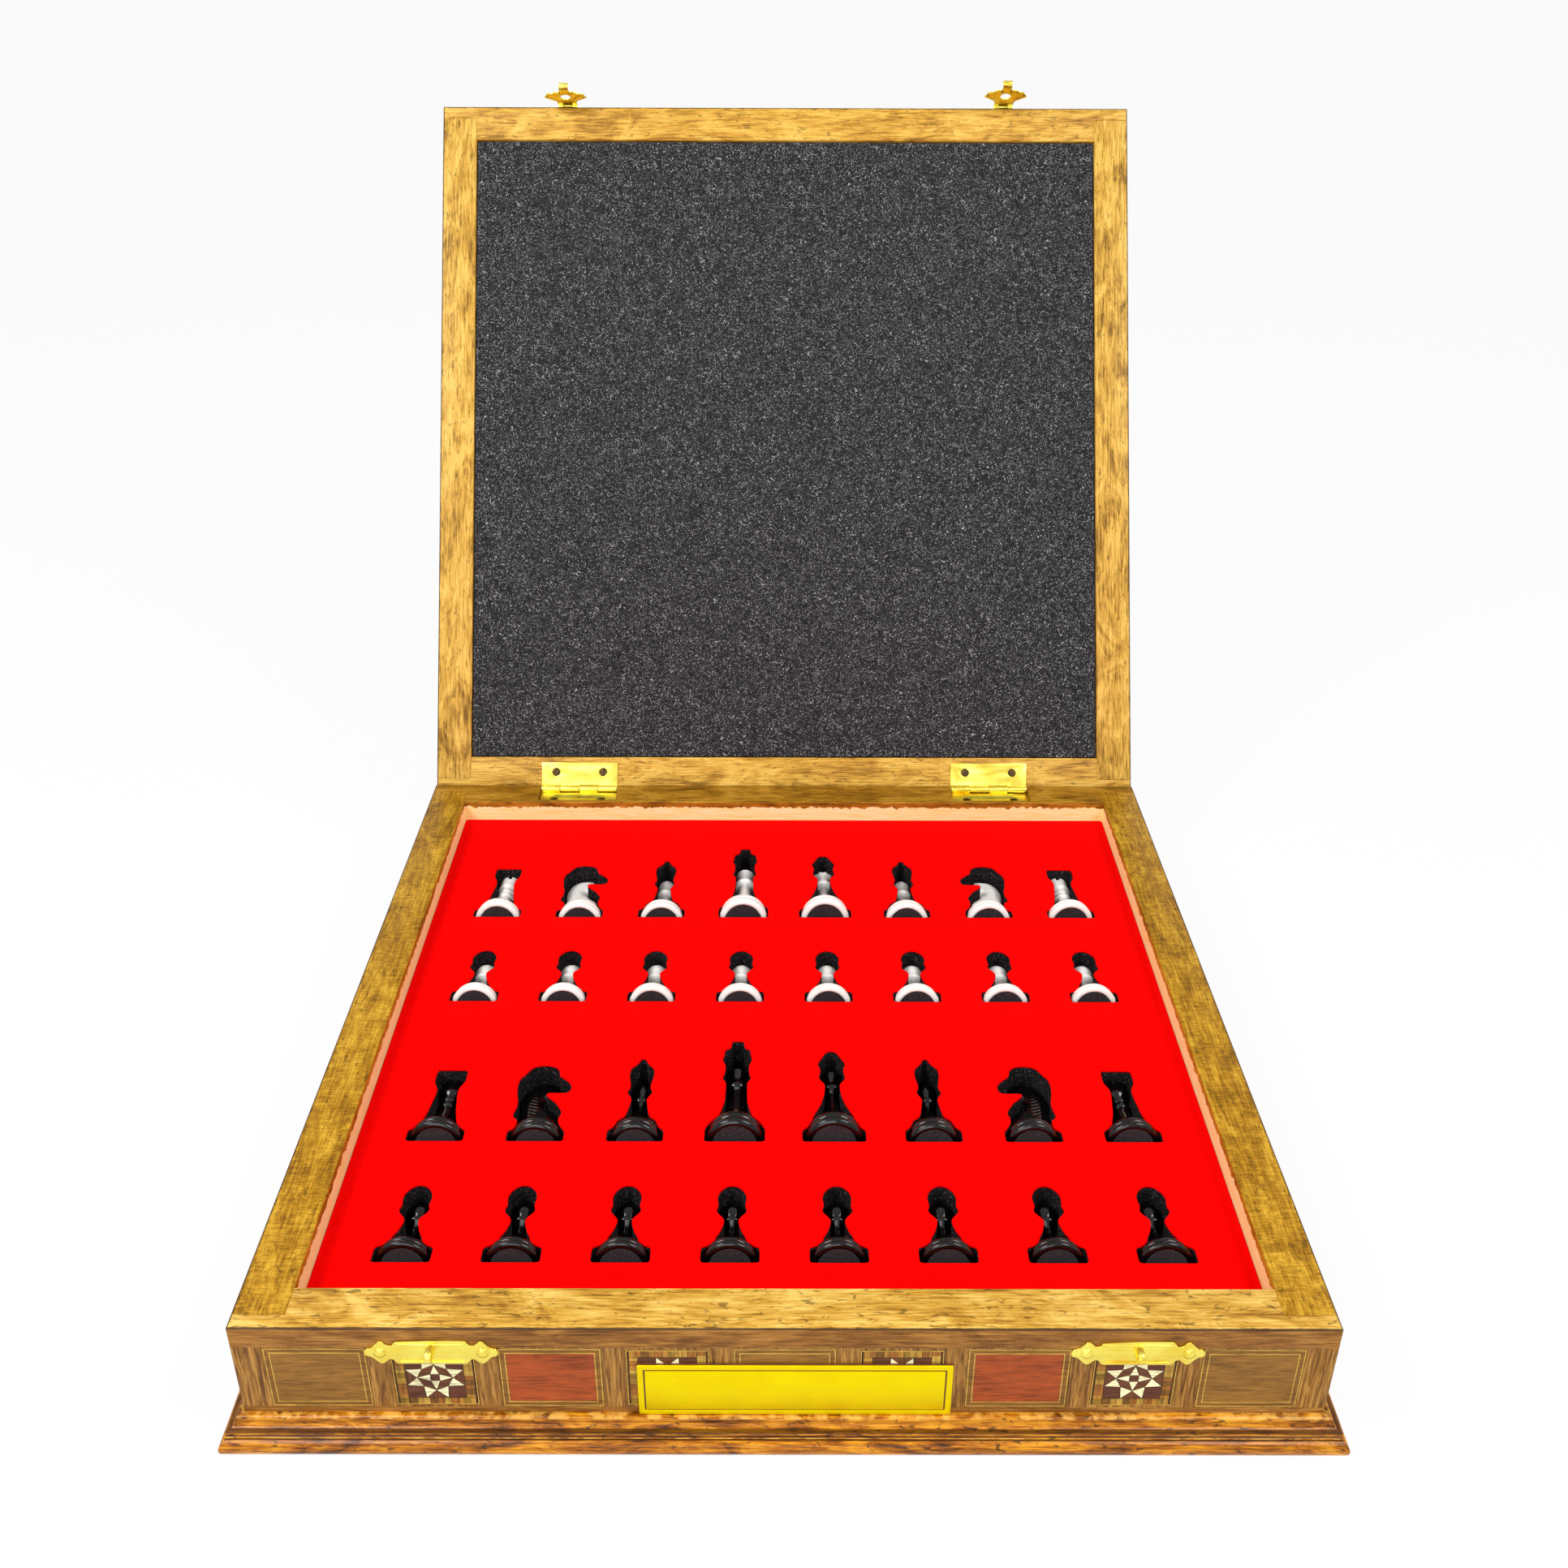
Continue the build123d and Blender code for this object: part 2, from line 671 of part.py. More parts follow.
def lying(kind, x, front, mirrored):
    """Where a piece's own upright frame goes, for a pocket whose front edge is at front."""
    tilt = lean(kind)
    rim_height, rim_radius = stations(kind)[1]
    y = front + pocket_fit + base_radii[kind] * sin(tilt)
    z = pocket_floor + floor_gap + rim_height * sin(tilt) + rim_radius * cos(tilt)
    place = Location((x, y, z), (-90 - degrees(tilt), 0, 0))
    return place * Location((0, 0, 0), (0, 0, 180)) if mirrored else place


def pocket_sketch(kind, x, front, mirrored):
    """A pocket's outline: the lying piece seen from above, with room all round for its lean and its fit."""
    tilt = lean(kind)
    start = front + pocket_fit + base_radii[kind] * sin(tilt)
    points = stations(kind)
    radii = [0, *[r for _, r in points], 0]
    half = []
    for (height, r), before, after in zip(points, radii, radii[2:]):
        room = r * sin(tilt) + pocket_fit
        along = start + height * cos(tilt)
        wider_before, wider_after = before >= r, after >= r
        if not wider_before:
            half.append((r + pocket_fit, along - room))
        if not wider_after:
            half.append((r + pocket_fit, along + room))
        if wider_before and wider_after:
            half.append((r + pocket_fit, along))
    with BuildSketch() as pocket:
        with Locations((x, 0)):
            with BuildSketch(mode=Mode.PRIVATE) as shape:
                with BuildLine():
                    Polyline(*half, *[(-px, py) for px, py in reversed(half)], close=True)
                make_face()
            add(shape.sketch)
        if kind == "knight":
            head = knight_profile(pocket_fit + knight_thickness / 2 * sin(tilt))
            if mirrored:
                head = head.mirror(Plane.YZ)
            add(head.moved(Location((x, start, 0))))
        if kind == "king":
            reach = (king_length - points[-1][0]) * cos(tilt) + king_cross_thickness * sin(tilt) + pocket_fit
            with Locations((x, start + points[-1][0] * cos(tilt))):
                Rectangle(king_cross_width + 2 * pocket_fit, reach, align=(Align.CENTER, Align.MIN))
    return pocket.sketch


back_row = ["rook", "knight", "bishop", "king", "queen", "bishop", "knight", "rook"]
row_length = len(back_row)
columns = [(step - (row_length - 1) / 2) * column_pitch for step in range(row_length)]
set_pieces = []
for army in ["white", "black"]:
    for step, kind in enumerate(back_row):
        wing = "left" if step < row_length / 2 else "right"
        name = f"{army}_{kind}" if kind in ("king", "queen") else f"{army}_{kind}_{wing}"
        set_pieces.append((name, kind, columns[step], row_fronts[f"{army}_back"], wing == "right"))
    for step in range(row_length):
        name = f"{army}_pawn_{step + 1}"
        set_pieces.append((name, "pawn", columns[step], row_fronts[f"{army}_pawns"], False))

for name, kind, x, front, mirrored in set_pieces:
    save(upright[kind].part.moved(lying(kind, x, front, mirrored)), name)

with BuildSketch() as pockets:
    for name, kind, x, front, mirrored in set_pieces:
        add(pocket_sketch(kind, x, front, mirrored))


def tray_sheet(low, thickness, half_side, pierced):
    """A square sheet of the tray, with or without the pieces' cut-outs."""
    with BuildPart() as sheet:
        with BuildSketch(Plane.XY.offset(low)):
            Rectangle(2 * half_side, 2 * half_side)
            if pierced:
                add(pockets.sketch, mode=Mode.SUBTRACT)
        extrude(amount=thickness)
    return sheet.part


foam_base = tray_sheet(bottom_thickness, pocket_floor - bottom_thickness, foam_half, pierced=False)
foam_layer = tray_sheet(pocket_floor, foam_top - pocket_floor, foam_half, pierced=True)
save(Compound(children=[foam_base, foam_layer]), "tray_foam")
save(tray_sheet(foam_top, liner_thickness, foam_half, pierced=True), "tray_liner")
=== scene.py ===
# %% [markdown]
# # An inlaid chess box, open, with its men in the tray
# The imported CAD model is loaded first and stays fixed: every rail, hinge and chessman already has its place.
# This script gives each of them its finish, and where CAD is too plain for the eye, a finer piece that
# stands exactly where the CAD piece stands. All lengths are in metres, so a size in millimetres is
# multiplied by MM.

import json
import math
import random

import bmesh
import bpy
from mathutils import Matrix, Vector, noise
from mathutils.geometry import tessellate_polygon


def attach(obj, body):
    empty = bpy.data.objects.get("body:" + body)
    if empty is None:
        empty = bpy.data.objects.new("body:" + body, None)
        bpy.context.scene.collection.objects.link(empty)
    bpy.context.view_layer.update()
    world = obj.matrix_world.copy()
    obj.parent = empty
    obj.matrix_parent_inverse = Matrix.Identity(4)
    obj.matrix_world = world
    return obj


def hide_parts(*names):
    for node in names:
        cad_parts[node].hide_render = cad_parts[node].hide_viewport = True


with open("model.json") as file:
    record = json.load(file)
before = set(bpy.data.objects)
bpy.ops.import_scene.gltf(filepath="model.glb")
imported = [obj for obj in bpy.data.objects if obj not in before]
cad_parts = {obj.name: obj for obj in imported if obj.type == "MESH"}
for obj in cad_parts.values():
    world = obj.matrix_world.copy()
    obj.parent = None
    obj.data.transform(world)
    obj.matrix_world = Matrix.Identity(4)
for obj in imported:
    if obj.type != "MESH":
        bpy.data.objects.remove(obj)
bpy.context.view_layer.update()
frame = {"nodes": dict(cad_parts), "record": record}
scene = bpy.context.scene
MM = 0.001

# %% [markdown]
# ## Camera
# The photograph was taken from a little above the open lid, straight on. Its place and lens were worked
# out from the box's corners, so the picture can be laid over the photograph. A camera looks along its own
# -Z, so its matrix is built from the three directions right, up and backwards.

# %% Camera
camera_place = Vector((-1.664, -531.716, 442.307)) * MM
camera_pitch, camera_yaw, camera_roll = (math.radians(a) for a in (29.007, 0.131, 0.189))
forward = Vector((
    math.sin(camera_yaw) * math.cos(camera_pitch),
    math.cos(camera_yaw) * math.cos(camera_pitch),
    -math.sin(camera_pitch),
))
level = Vector((math.cos(camera_yaw), -math.sin(camera_yaw), 0))
lifted = level.cross(forward)
right = level * math.cos(camera_roll) + lifted * math.sin(camera_roll)
up = lifted * math.cos(camera_roll) - level * math.sin(camera_roll)

camera_data = bpy.data.cameras.new("photo_camera")
camera_data.sensor_width = 36
camera_data.lens = 36.887
camera_data.clip_start, camera_data.clip_end = 0.01, 60
camera = bpy.data.objects.new("photo_camera", camera_data)
scene.collection.objects.link(camera)
camera.matrix_world = Matrix.Translation(camera_place) @ Matrix((right, up, -forward)).transposed().to_4x4()
scene.camera = camera
scene.view_settings.view_transform = "Standard"
print("camera at", [round(x, 3) for x in camera.location])

# %% [markdown]
# ## Colours and a small kit for materials
# Photographs and screens name colours from 0 to 255 on a curve; Blender wants them straight. `tint` turns
# one into the other. `NodeKit` adds nodes to any tree a line at a time, and a `Finish` is such a kit around one
# material, so that each recipe below reads like a list of what the surface is made of.

# %% Material kit
def tint(red, green, blue):
    """A screen colour, 0 to 255, as Blender's straight values."""
    def straight(value):
        share = value / 255
        return share / 12.92 if share <= 0.04045 else ((share + 0.055) / 1.055) ** 2.4
    return (straight(red), straight(green), straight(blue), 1.0)


def darker(colour, share):
    return tint(*[share * channel for channel in colour])


class NodeKit:
    """A node tree and short ways to add to it."""

    def __init__(self, tree):
        self.tree = tree

    def node(self, kind, inputs=None, **settings):
        """Add a node. An input is a socket to link from, or a plain value."""
        made = self.tree.nodes.new(kind)
        for setting, value in settings.items():
            setattr(made, setting, value)
        for key, value in (inputs or {}).items():
            if isinstance(value, bpy.types.NodeSocket):
                self.tree.links.new(value, made.inputs[key])
            else:
                made.inputs[key].default_value = value
        return made

    def maths(self, operation, first, *others):
        """One node for one or two values, and one more for each value after that."""
        for other in others or (0.0,):
            first = self.node("ShaderNodeMath", {0: first, 1: other}, operation=operation).outputs[0]
        return first


class Finish(NodeKit):
    """One procedural material. Each method adds a node and returns the socket to use next."""

    def __init__(self, name, **sockets):
        self.material = bpy.data.materials.new(name)
        self.material.use_nodes = True
        super().__init__(self.material.node_tree)
        self.shader = self.tree.nodes["Principled BSDF"]
        for socket, value in sockets.items():
            self.shader.inputs[socket.replace("_", " ")].default_value = value
        self.place = self.node("ShaderNodeTexCoord").outputs["Object"]

    def turned(self, place, x, shift):
        values = {"Vector": place, "Rotation": (x, 0, 0), "Location": shift}
        return self.node("ShaderNodeMapping", values).outputs[0]

    def scaled(self, place, x, y, z):
        return self.node("ShaderNodeMapping", {"Vector": place, "Scale": (x, y, z)}).outputs[0]

    def noise(self, place, scale=1.0, detail=3.0, roughness=0.55, distortion=0.0):
        values = {"Vector": place, "Scale": scale, "Detail": detail, "Roughness": roughness,
                  "Distortion": distortion}
        return self.node("ShaderNodeTexNoise", values).outputs["Fac"]

    def ramp(self, factor, *stops):
        """Stops are (position, grey) or (position, straight colour)."""
        made = self.node("ShaderNodeValToRGB", {"Fac": factor})
        elements = made.color_ramp.elements
        while len(elements) < len(stops):
            elements.new(0.5)
        for element, (position, colour) in zip(elements, stops):
            element.position = position
            element.color = colour if hasattr(colour, "__len__") else (colour, colour, colour, 1)
        return made.outputs["Color"]

    def tones(self, factor, *stops):
        """A ramp between screen colours."""
        return self.ramp(factor, *[(position, tint(*colour)) for position, colour in stops])

    def mix(self, factor, first, second, blend="MIX"):
        return self.node("ShaderNodeMix", {0: factor, 6: first, 7: second}, data_type="RGBA",
                         blend_type=blend).outputs[2]

    def attribute(self, name, output="Color"):
        return self.node("ShaderNodeAttribute", attribute_name=name).outputs[output]

    def bands(self, value, *bands):
        """1 where value lies in one of the bands, each from a low to a high in mm."""
        inside = [self.maths("MULTIPLY", self.maths("GREATER_THAN", value, low * MM),
                             self.maths("LESS_THAN", value, high * MM)) for low, high in bands]
        return inside[0] if len(inside) == 1 else self.maths("ADD", *inside)

    def from_middle(self, place):
        """Height, and how far a point is from the box's middle, along X or Y, whichever is more."""
        x, y, z = self.node("ShaderNodeSeparateXYZ", {0: place}).outputs
        return z, self.maths("MAXIMUM", self.maths("ABSOLUTE", x), self.maths("ABSOLUTE", y))

    def paint(self, socket, value):
        self.tree.links.new(value, self.shader.inputs[socket])

    def relief(self, height, strength, depth):
        """Bumps of a height, at most depth mm deep."""
        values = {"Height": height, "Strength": strength, "Distance": depth * MM}
        self.paint("Normal", self.node("ShaderNodeBump", values).outputs["Normal"])


# %% [markdown]
# ## Floor, backdrop and light
# The photograph has no backdrop at all, only white. The floor is a plain pale sheet that still takes a little of
# the box's shadow, because most of what the camera sees of it is its own even white, and the world is white to
# the eye in the same way. Two soft lamps above, left and right, leave the pair of highlights that the
# turned men show, and a third fills in from the front. Together they light the box at a level where a colour
# looks as it was mixed.

# %% Stage
def white_for_the_eye(kit):
    """1 where a ray comes from the camera, a reflection or glass, 0 for ordinary light."""
    rays = kit.node("ShaderNodeLightPath").outputs
    return kit.maths("MAXIMUM", *[rays[f"Is {kind} Ray"] for kind in ("Camera", "Glossy", "Transmission")])


floor_half, floor_drop, own_white = 12.0, 0.0002, 0.93
floor_mesh = bpy.data.meshes.new("floor")
floor_corners = [(x * floor_half, y * floor_half, -floor_drop) for x, y in ((-1, -1), (1, -1), (1, 1), (-1, 1))]
floor_mesh.from_pydata(floor_corners, [], [(0, 1, 2, 3)])
floor = bpy.data.objects.new("floor", floor_mesh)
scene.collection.objects.link(floor)
paper = Finish("floor_paper", Base_Color=tint(252, 252, 252), Roughness=0.9)
paper_glow = paper.node("ShaderNodeEmission", {"Color": (1, 1, 1, 1), "Strength": 1.0})
paper_share = paper.maths("MULTIPLY", white_for_the_eye(paper), own_white)
paper_mix = paper.node("ShaderNodeMixShader", {0: paper_share, 1: paper.shader.outputs[0],
                                               2: paper_glow.outputs[0]})
paper.tree.links.new(paper_mix.outputs[0], paper.tree.nodes["Material Output"].inputs[0])
floor_mesh.materials.append(paper.material)

# %% Lights
world = bpy.data.worlds.new("studio")
world.use_nodes = True
scene.world = world
sky = NodeKit(world.node_tree)
sky_light = sky.tree.nodes["Background"]
sky_light.inputs["Color"].default_value = (1, 1, 1, 1)
sky_light.inputs["Strength"].default_value = 0.26
sky_white = sky.node("ShaderNodeBackground", {"Strength": 1.0})
sky_mix = sky.node("ShaderNodeMixShader", {0: white_for_the_eye(sky), 1: sky_light.outputs[0],
                                           2: sky_white.outputs[0]})
sky.tree.links.new(sky_mix.outputs[0], sky.tree.nodes["World Output"].inputs[0])


def soft_lamp(name, place, aim, width, watts):
    """A square lamp that points from its place at a point. All in metres."""
    data = bpy.data.lights.new(name, "AREA")
    data.size, data.energy = width, watts
    lamp = bpy.data.objects.new(name, data)
    scene.collection.objects.link(lamp)
    lamp.location = place
    lamp.rotation_euler = (Vector(aim) - Vector(place)).to_track_quat("-Z", "Y").to_euler()


soft_lamp("left_window", (-0.85, -0.45, 1.25), (0, 0, 0.05), 0.55, 13.5)
soft_lamp("right_window", (0.85, -0.45, 1.25), (0, 0, 0.05), 0.55, 11.0)
soft_lamp("front_fill", (-0.3, -1.6, 0.75), (0, 0, 0.12), 0.9, 7.2)
print("floor, world and three lamps")

# %% [markdown]
# ## Stained wood
# The rails are a pale, mottled wood that took the stain unevenly. The recipe is fine fibres stretched along
# the grain, a cloudier mottling on top, small dark pores, and a few dark streaks. Wood grain runs along each
# rail, so the fibres are stretched along X or along Y, and on the open lid the pattern is first turned back
# to the shut lid's place. The other differences follow from where a point lies on the box: the outer faces
# are darker, the band between the inlays is veneer with upright grain, the outermost corners have soaked up
# more stain, and on the inside of the case the stain stops in a ragged line above bare, pale wood.

# %% Wood finishes
LID_ANGLE = math.radians(-121)
pin_y, pin_z = 174.1, 47.95
hinge_line = Vector((0, pin_y * MM, pin_z * MM))
shut_shift = hinge_line - Matrix.Rotation(-LID_ANGLE, 3, "X") @ hinge_line
inside_face, outside_face, soaked_rim = 158.4 * MM, 174.72 * MM, 174.85 * MM
stain_line, stain_swing, rim_swing = 44.0 * MM, 5.0 * MM, 0.9 * MM
# Bands of height, in mm: veneer between the inlays, the parting line and the lid's upper edge, and the plinth's
# hollows, painted darker as painted shade and gathered stain, and crests, painted lighter as a painted highlight
# and wear.
upright_band, lips = (14.2, 41.2), ((49.0, 51.0), (71.0, 72.0))
foot_hollows, foot_crests = ((7.6, 8.35), (6.25, 6.75), (5.15, 5.5)), ((11.0, 12.0), (5.6, 6.2))
# After the soaked stain come the plinth's colours: painted shade with gathered stain for its hollows, and a painted
# highlight with wear for its crests.
SOAKED, HOLLOW_SHADE_AND_STAIN, CREST_HIGHLIGHT_AND_WEAR = (58, 40, 26), (52, 30, 10), (244, 186, 84)


def wood(name, dark, middle, light, grain="X", on_lid=False, pores=0.5, streaks=0.35, case_rail=False,
         fleck_across=0.0, moulded_foot=False, **sockets):
    """A stained wood: three colours, the way its grain runs, and how strong its pores and streaks are."""
    made = Finish(name, **{"Roughness": 0.5, "Specular_IOR_Level": 0.16, "Coat_Weight": 0.04,
                           "Coat_Roughness": 0.3, **sockets})
    place = made.turned(made.place, -LID_ANGLE, shut_shift) if on_lid else made.place

    def stretched(along, across, way=grain):
        return made.scaled(place, *[along if axis == way else across for axis in "XYZ"])

    fibre = made.noise(stretched(90, 1300), detail=4, distortion=0.4)
    cloud = made.noise(stretched(30, 75), detail=4, roughness=0.65, distortion=1.4)
    tone = made.mix(0.55, fibre, cloud)
    if fleck_across:
        across = "Y" if grain == "X" else "X"
        flecks = made.noise(stretched(150, 800, across), detail=3, distortion=1.6)
        tone = made.mix(fleck_across, tone, flecks)
    colour = made.tones(tone, (0.38, dark), (0.49, middle), (0.6, light))
    pore = made.ramp(made.noise(stretched(230, 640), detail=2, distortion=0.8), (0.6, 0.0), (0.68, pores))
    colour = made.mix(pore, colour, darker(dark, 0.5))
    streak = made.ramp(made.noise(stretched(17, 420), detail=5, roughness=0.7), (0.57, 0.0), (0.68, streaks))
    colour = made.mix(streak, colour, darker(dark, 0.62))
    height, outward = made.from_middle(place)
    ragged = made.noise(place, scale=240, detail=4)
    if case_rail:
        veneer = made.tones(made.mix(0.5, fibre, cloud), (0.38, (102, 62, 22)), (0.5, (144, 94, 38)),
                            (0.62, (182, 128, 58)))
        upright = made.noise(stretched(60, 1100, "Z"), detail=4, roughness=0.65, distortion=0.8)
        upright = made.tones(upright, (0.36, (98, 60, 24)), (0.5, (150, 102, 42)), (0.64, (188, 138, 66)))
        veneer = made.mix(made.bands(height, upright_band), veneer, upright)
        colour = made.mix(made.maths("GREATER_THAN", outward, outside_face), colour, veneer)
        inside = made.maths("LESS_THAN", outward, inside_face)
        below = made.maths("LESS_THAN", height,
                           made.maths("ADD", made.maths("MULTIPLY", ragged, stain_swing), stain_line))
        bare = made.tones(fibre, (0.35, (255, 236, 140)), (0.62, (255, 254, 196)))
        colour = made.mix(made.maths("MULTIPLY", inside, below), colour, bare)
    if case_rail or on_lid:
        rim = made.maths("ADD", outward, made.maths("MULTIPLY", ragged, rim_swing))
        soaked = made.maths("MULTIPLY", made.maths("GREATER_THAN", rim, soaked_rim), made.bands(height, *lips), 0.8)
        colour = made.mix(soaked, colour, tint(*SOAKED))
    # On the plinth the hollows are painted darker, as painted shade and gathered stain, and the crests lighter, as
    # a painted highlight and wear.
    if moulded_foot:
        hollow_shade_and_stain = made.maths("MULTIPLY", made.bands(height, *foot_hollows), 0.75)
        colour = made.mix(hollow_shade_and_stain, colour, tint(*HOLLOW_SHADE_AND_STAIN))
        crest_highlight_and_wear = made.maths("MULTIPLY", made.bands(height, *foot_crests),
                            made.ramp(ragged, (0.44, 0.0), (0.6, 0.7)))
        colour = made.mix(crest_highlight_and_wear, colour, tint(*CREST_HIGHLIGHT_AND_WEAR))
    made.paint("Base Color", colour)
    made.relief(made.mix(0.4, fibre, pore), 0.35, 0.25)
    return made.material


rail_wood = wood("rail_wood", (150, 100, 28), (218, 164, 60), (250, 208, 108), case_rail=True, pores=0.65,
                 streaks=0.2)
# The back rail is painted darker than the front rail: a painted shadow of the open lid standing over it.
back_rail_wood = wood("back_rail_wood", (100, 66, 6), (158, 108, 20), (192, 142, 46), case_rail=True, streaks=0.2)
side_wood = wood("side_wood", (110, 72, 8), (172, 122, 22), (222, 172, 52), grain="Y", case_rail=True,
                 fleck_across=0.3, streaks=0.15)
lid_wood_x = wood("lid_wood_x", (140, 96, 24), (206, 154, 56), (234, 190, 88), on_lid=True, streaks=0.2)
lid_wood_y = wood("lid_wood_y", (128, 92, 30), (206, 158, 64), (238, 194, 96), grain="Y", on_lid=True, streaks=0.2)
foot_looks = {"pores": 0.75, "streaks": 0.7, "moulded_foot": True, "Roughness": 0.34, "Specular_IOR_Level": 0.2,
              "Coat_Weight": 0.14, "Coat_Roughness": 0.15}
plinth_wood = wood("plinth_wood", (66, 30, 0), (166, 94, 2), (226, 152, 26), **foot_looks)
plinth_wood_y = wood("plinth_wood_y", (66, 30, 0), (166, 94, 2), (226, 152, 26), grain="Y", **foot_looks)
bottom_wood = wood("bottom_wood", (170, 120, 66), (206, 160, 100), (226, 186, 128), pores=0.2, streaks=0.15,
                   Roughness=0.7)
board_wood = wood("board_wood", (60, 34, 16), (104, 62, 30), (138, 88, 46), on_lid=True, pores=0.3, streaks=0.3)
print("wood finishes ready")

# %% [markdown]
# ## Pieces and where they ride
# Every piece is an object at the origin whose place is in its mesh, as the CAD's own are. `settle` does the
# book-keeping that each one needs: its material slot, the CAD node it stands for and the body it moves with.
# The lid's pieces are drawn with the lid shut, like the CAD, and `lid_open` swings their mesh open.

# %% Book-keeping
hinge_place = Matrix.Translation(hinge_line)
lid_open = hinge_place @ Matrix.Rotation(LID_ANGLE, 4, "X") @ hinge_place.inverted()
node_bodies = {node: body for body, nodes in frame["record"]["behaviour"]["bodies"].items() for node in nodes}


def settle(name, mesh, materials, *nodes, body=None):
    """Make mesh a piece that stands for these CAD nodes and rides with them."""
    piece = bpy.data.objects.new(name, mesh)
    scene.collection.objects.link(piece)
    if materials is not None:
        if mesh.materials:
            mesh.materials.clear()
        for material in materials:
            mesh.materials.append(material)
    body = body or node_bodies[nodes[0]]
    if nodes:
        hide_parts(*nodes)
    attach(piece, body)
    return piece


def mesh_of(bm, name, smooth_angle=None):
    """Turn a bmesh into a mesh with its faces outward."""
    bmesh.ops.recalc_face_normals(bm, faces=bm.faces)
    mesh = bpy.data.meshes.new(name)
    bm.to_mesh(mesh)
    bm.free()
    if smooth_angle is not None:
        mesh.shade_smooth()
        mesh.set_sharp_from_angle(angle=math.radians(smooth_angle))
    return mesh


def joined(name, *meshes, slots=None):
    """Several meshes as one. With slots, each mesh takes the material slot of its number there."""
    bm = bmesh.new()
    for number, mesh in enumerate(meshes):
        done = len(bm.faces)
        bm.from_mesh(mesh)
        if slots:
            bm.faces.ensure_lookup_table()
            for face in bm.faces[done:]:
                face.material_index = slots[number]
    made = bpy.data.meshes.new(name)
    bm.to_mesh(made)
    bm.free()
    return made


def dress(node, material):
    """The finish of a CAD node that is shown as it is."""
    materials = frame["nodes"][node].data.materials
    materials.clear()
    materials.append(material)


# %% [markdown]
# ## Rails with eased edges
# The rails' shapes are right in CAD, but a planed rail has no razor edge: its corners are rubbed down a few
# tenths of a millimetre. That is also what shows the joint between two rails, as a fine V. So each rail is
# a copy of its CAD mesh with its doubled points merged and its sharp edges bevelled. The edges of the
# shallow seats under the marquetry stay crisp, because veneer fills them.

# %% Eased copies
rail_ease, weld = 0.35 * MM, 2e-6
seat_low, seat_high, seat_end = 13 * MM, 41.5 * MM, 166 * MM


def rim_of_inlay(edge):
    """True for the seats' edges: low on an outer face, away from its corners."""
    middle = (edge.verts[0].co + edge.verts[1].co) / 2
    return seat_low < middle.z < seat_high and min(abs(middle.x), abs(middle.y)) < seat_end


def eased_copy(node, keep=None):
    """A node's mesh, merged, with every sharp edge rounded."""
    bm = bmesh.new()
    bm.from_mesh(frame["nodes"][node].data)
    bmesh.ops.remove_doubles(bm, verts=bm.verts, dist=weld)
    bmesh.ops.dissolve_limit(bm, angle_limit=math.radians(1), verts=bm.verts, edges=bm.edges)
    sharp = [
        edge for edge in bm.edges
        if edge.is_manifold and edge.calc_face_angle(0) > math.radians(35) and not (keep and keep(edge))
    ]
    bmesh.ops.bevel(bm, geom=sharp, offset=rail_ease, segments=2, profile=0.5, affect="EDGES",
                    clamp_overlap=True)
    return mesh_of(bm, node, smooth_angle=30)


rail_finishes = {
    "case_front": rail_wood, "case_back": back_rail_wood, "case_left": side_wood, "case_right": side_wood,
    "lid_front": lid_wood_x, "lid_back": lid_wood_x, "lid_left": lid_wood_y, "lid_right": lid_wood_y,
    "plinth_front": plinth_wood, "plinth_back": plinth_wood, "plinth_left": plinth_wood_y,
    "plinth_right": plinth_wood_y,
}
for node, material in rail_finishes.items():
    keep = rim_of_inlay if node.startswith("case") else None
    settle(f"{node}_eased", eased_copy(node, keep), [material], node)
dress("case_bottom", bottom_wood)
dress("chessboard_panel", board_wood)
print(len(rail_finishes), "rails and mouldings eased")

# %% [markdown]
# ## Geometry Nodes, built in the script
# What repeats on this box, such as inlay blocks, squares, screws and nails, is made by Geometry Nodes. `Grower`
# is a kit around one tree: its named inputs, its nodes, and its last step, which makes the instances real and
# sets the material. `grow` hands a tree its inputs by their sockets' identifiers and keeps only the finished
# mesh.

# %% Geometry Nodes kit
class Grower(NodeKit):
    """One Geometry Nodes tree with named inputs, the last of them its Finish."""

    def __init__(self, name, inputs):
        super().__init__(bpy.data.node_groups.new(name, "GeometryNodeTree"))
        self.tree.interface.new_socket("Geometry", in_out="OUTPUT", socket_type="NodeSocketGeometry")
        for label, kind in {**inputs, "Finish": "Material"}.items():
            self.tree.interface.new_socket(label, in_out="INPUT", socket_type=f"NodeSocket{kind}")
        self.inputs = self.node("NodeGroupInput").outputs

    def index(self):
        return self.node("GeometryNodeInputIndex").outputs[0]

    def vector(self, x=0.0, y=0.0, z=0.0):
        return self.node("ShaderNodeCombineXYZ", {0: x, 1: y, 2: z}).outputs[0]

    def shape(self, label):
        return self.node("GeometryNodeObjectInfo", {"Object": self.inputs[label]}).outputs["Geometry"]

    def copies(self, points, instance, **more):
        values = {"Points": points, "Instance": instance, **more}
        return self.node("GeometryNodeInstanceOnPoints", values).outputs[0]

    def finish(self, geometry):
        real = self.node("GeometryNodeRealizeInstances", {0: geometry}).outputs[0]
        last = self.node("GeometryNodeSetMaterial", {"Geometry": real, "Material": self.inputs["Finish"]})
        self.tree.links.new(last.outputs[0], self.node("NodeGroupOutput").inputs[0])


def modified(target, *helpers):
    """The mesh that an object's modifiers make. The object and its helpers are used up."""
    mesh = bpy.data.meshes.new_from_object(target.evaluated_get(bpy.context.evaluated_depsgraph_get()))
    for used in (target, *helpers):
        bpy.data.objects.remove(used)
    return mesh


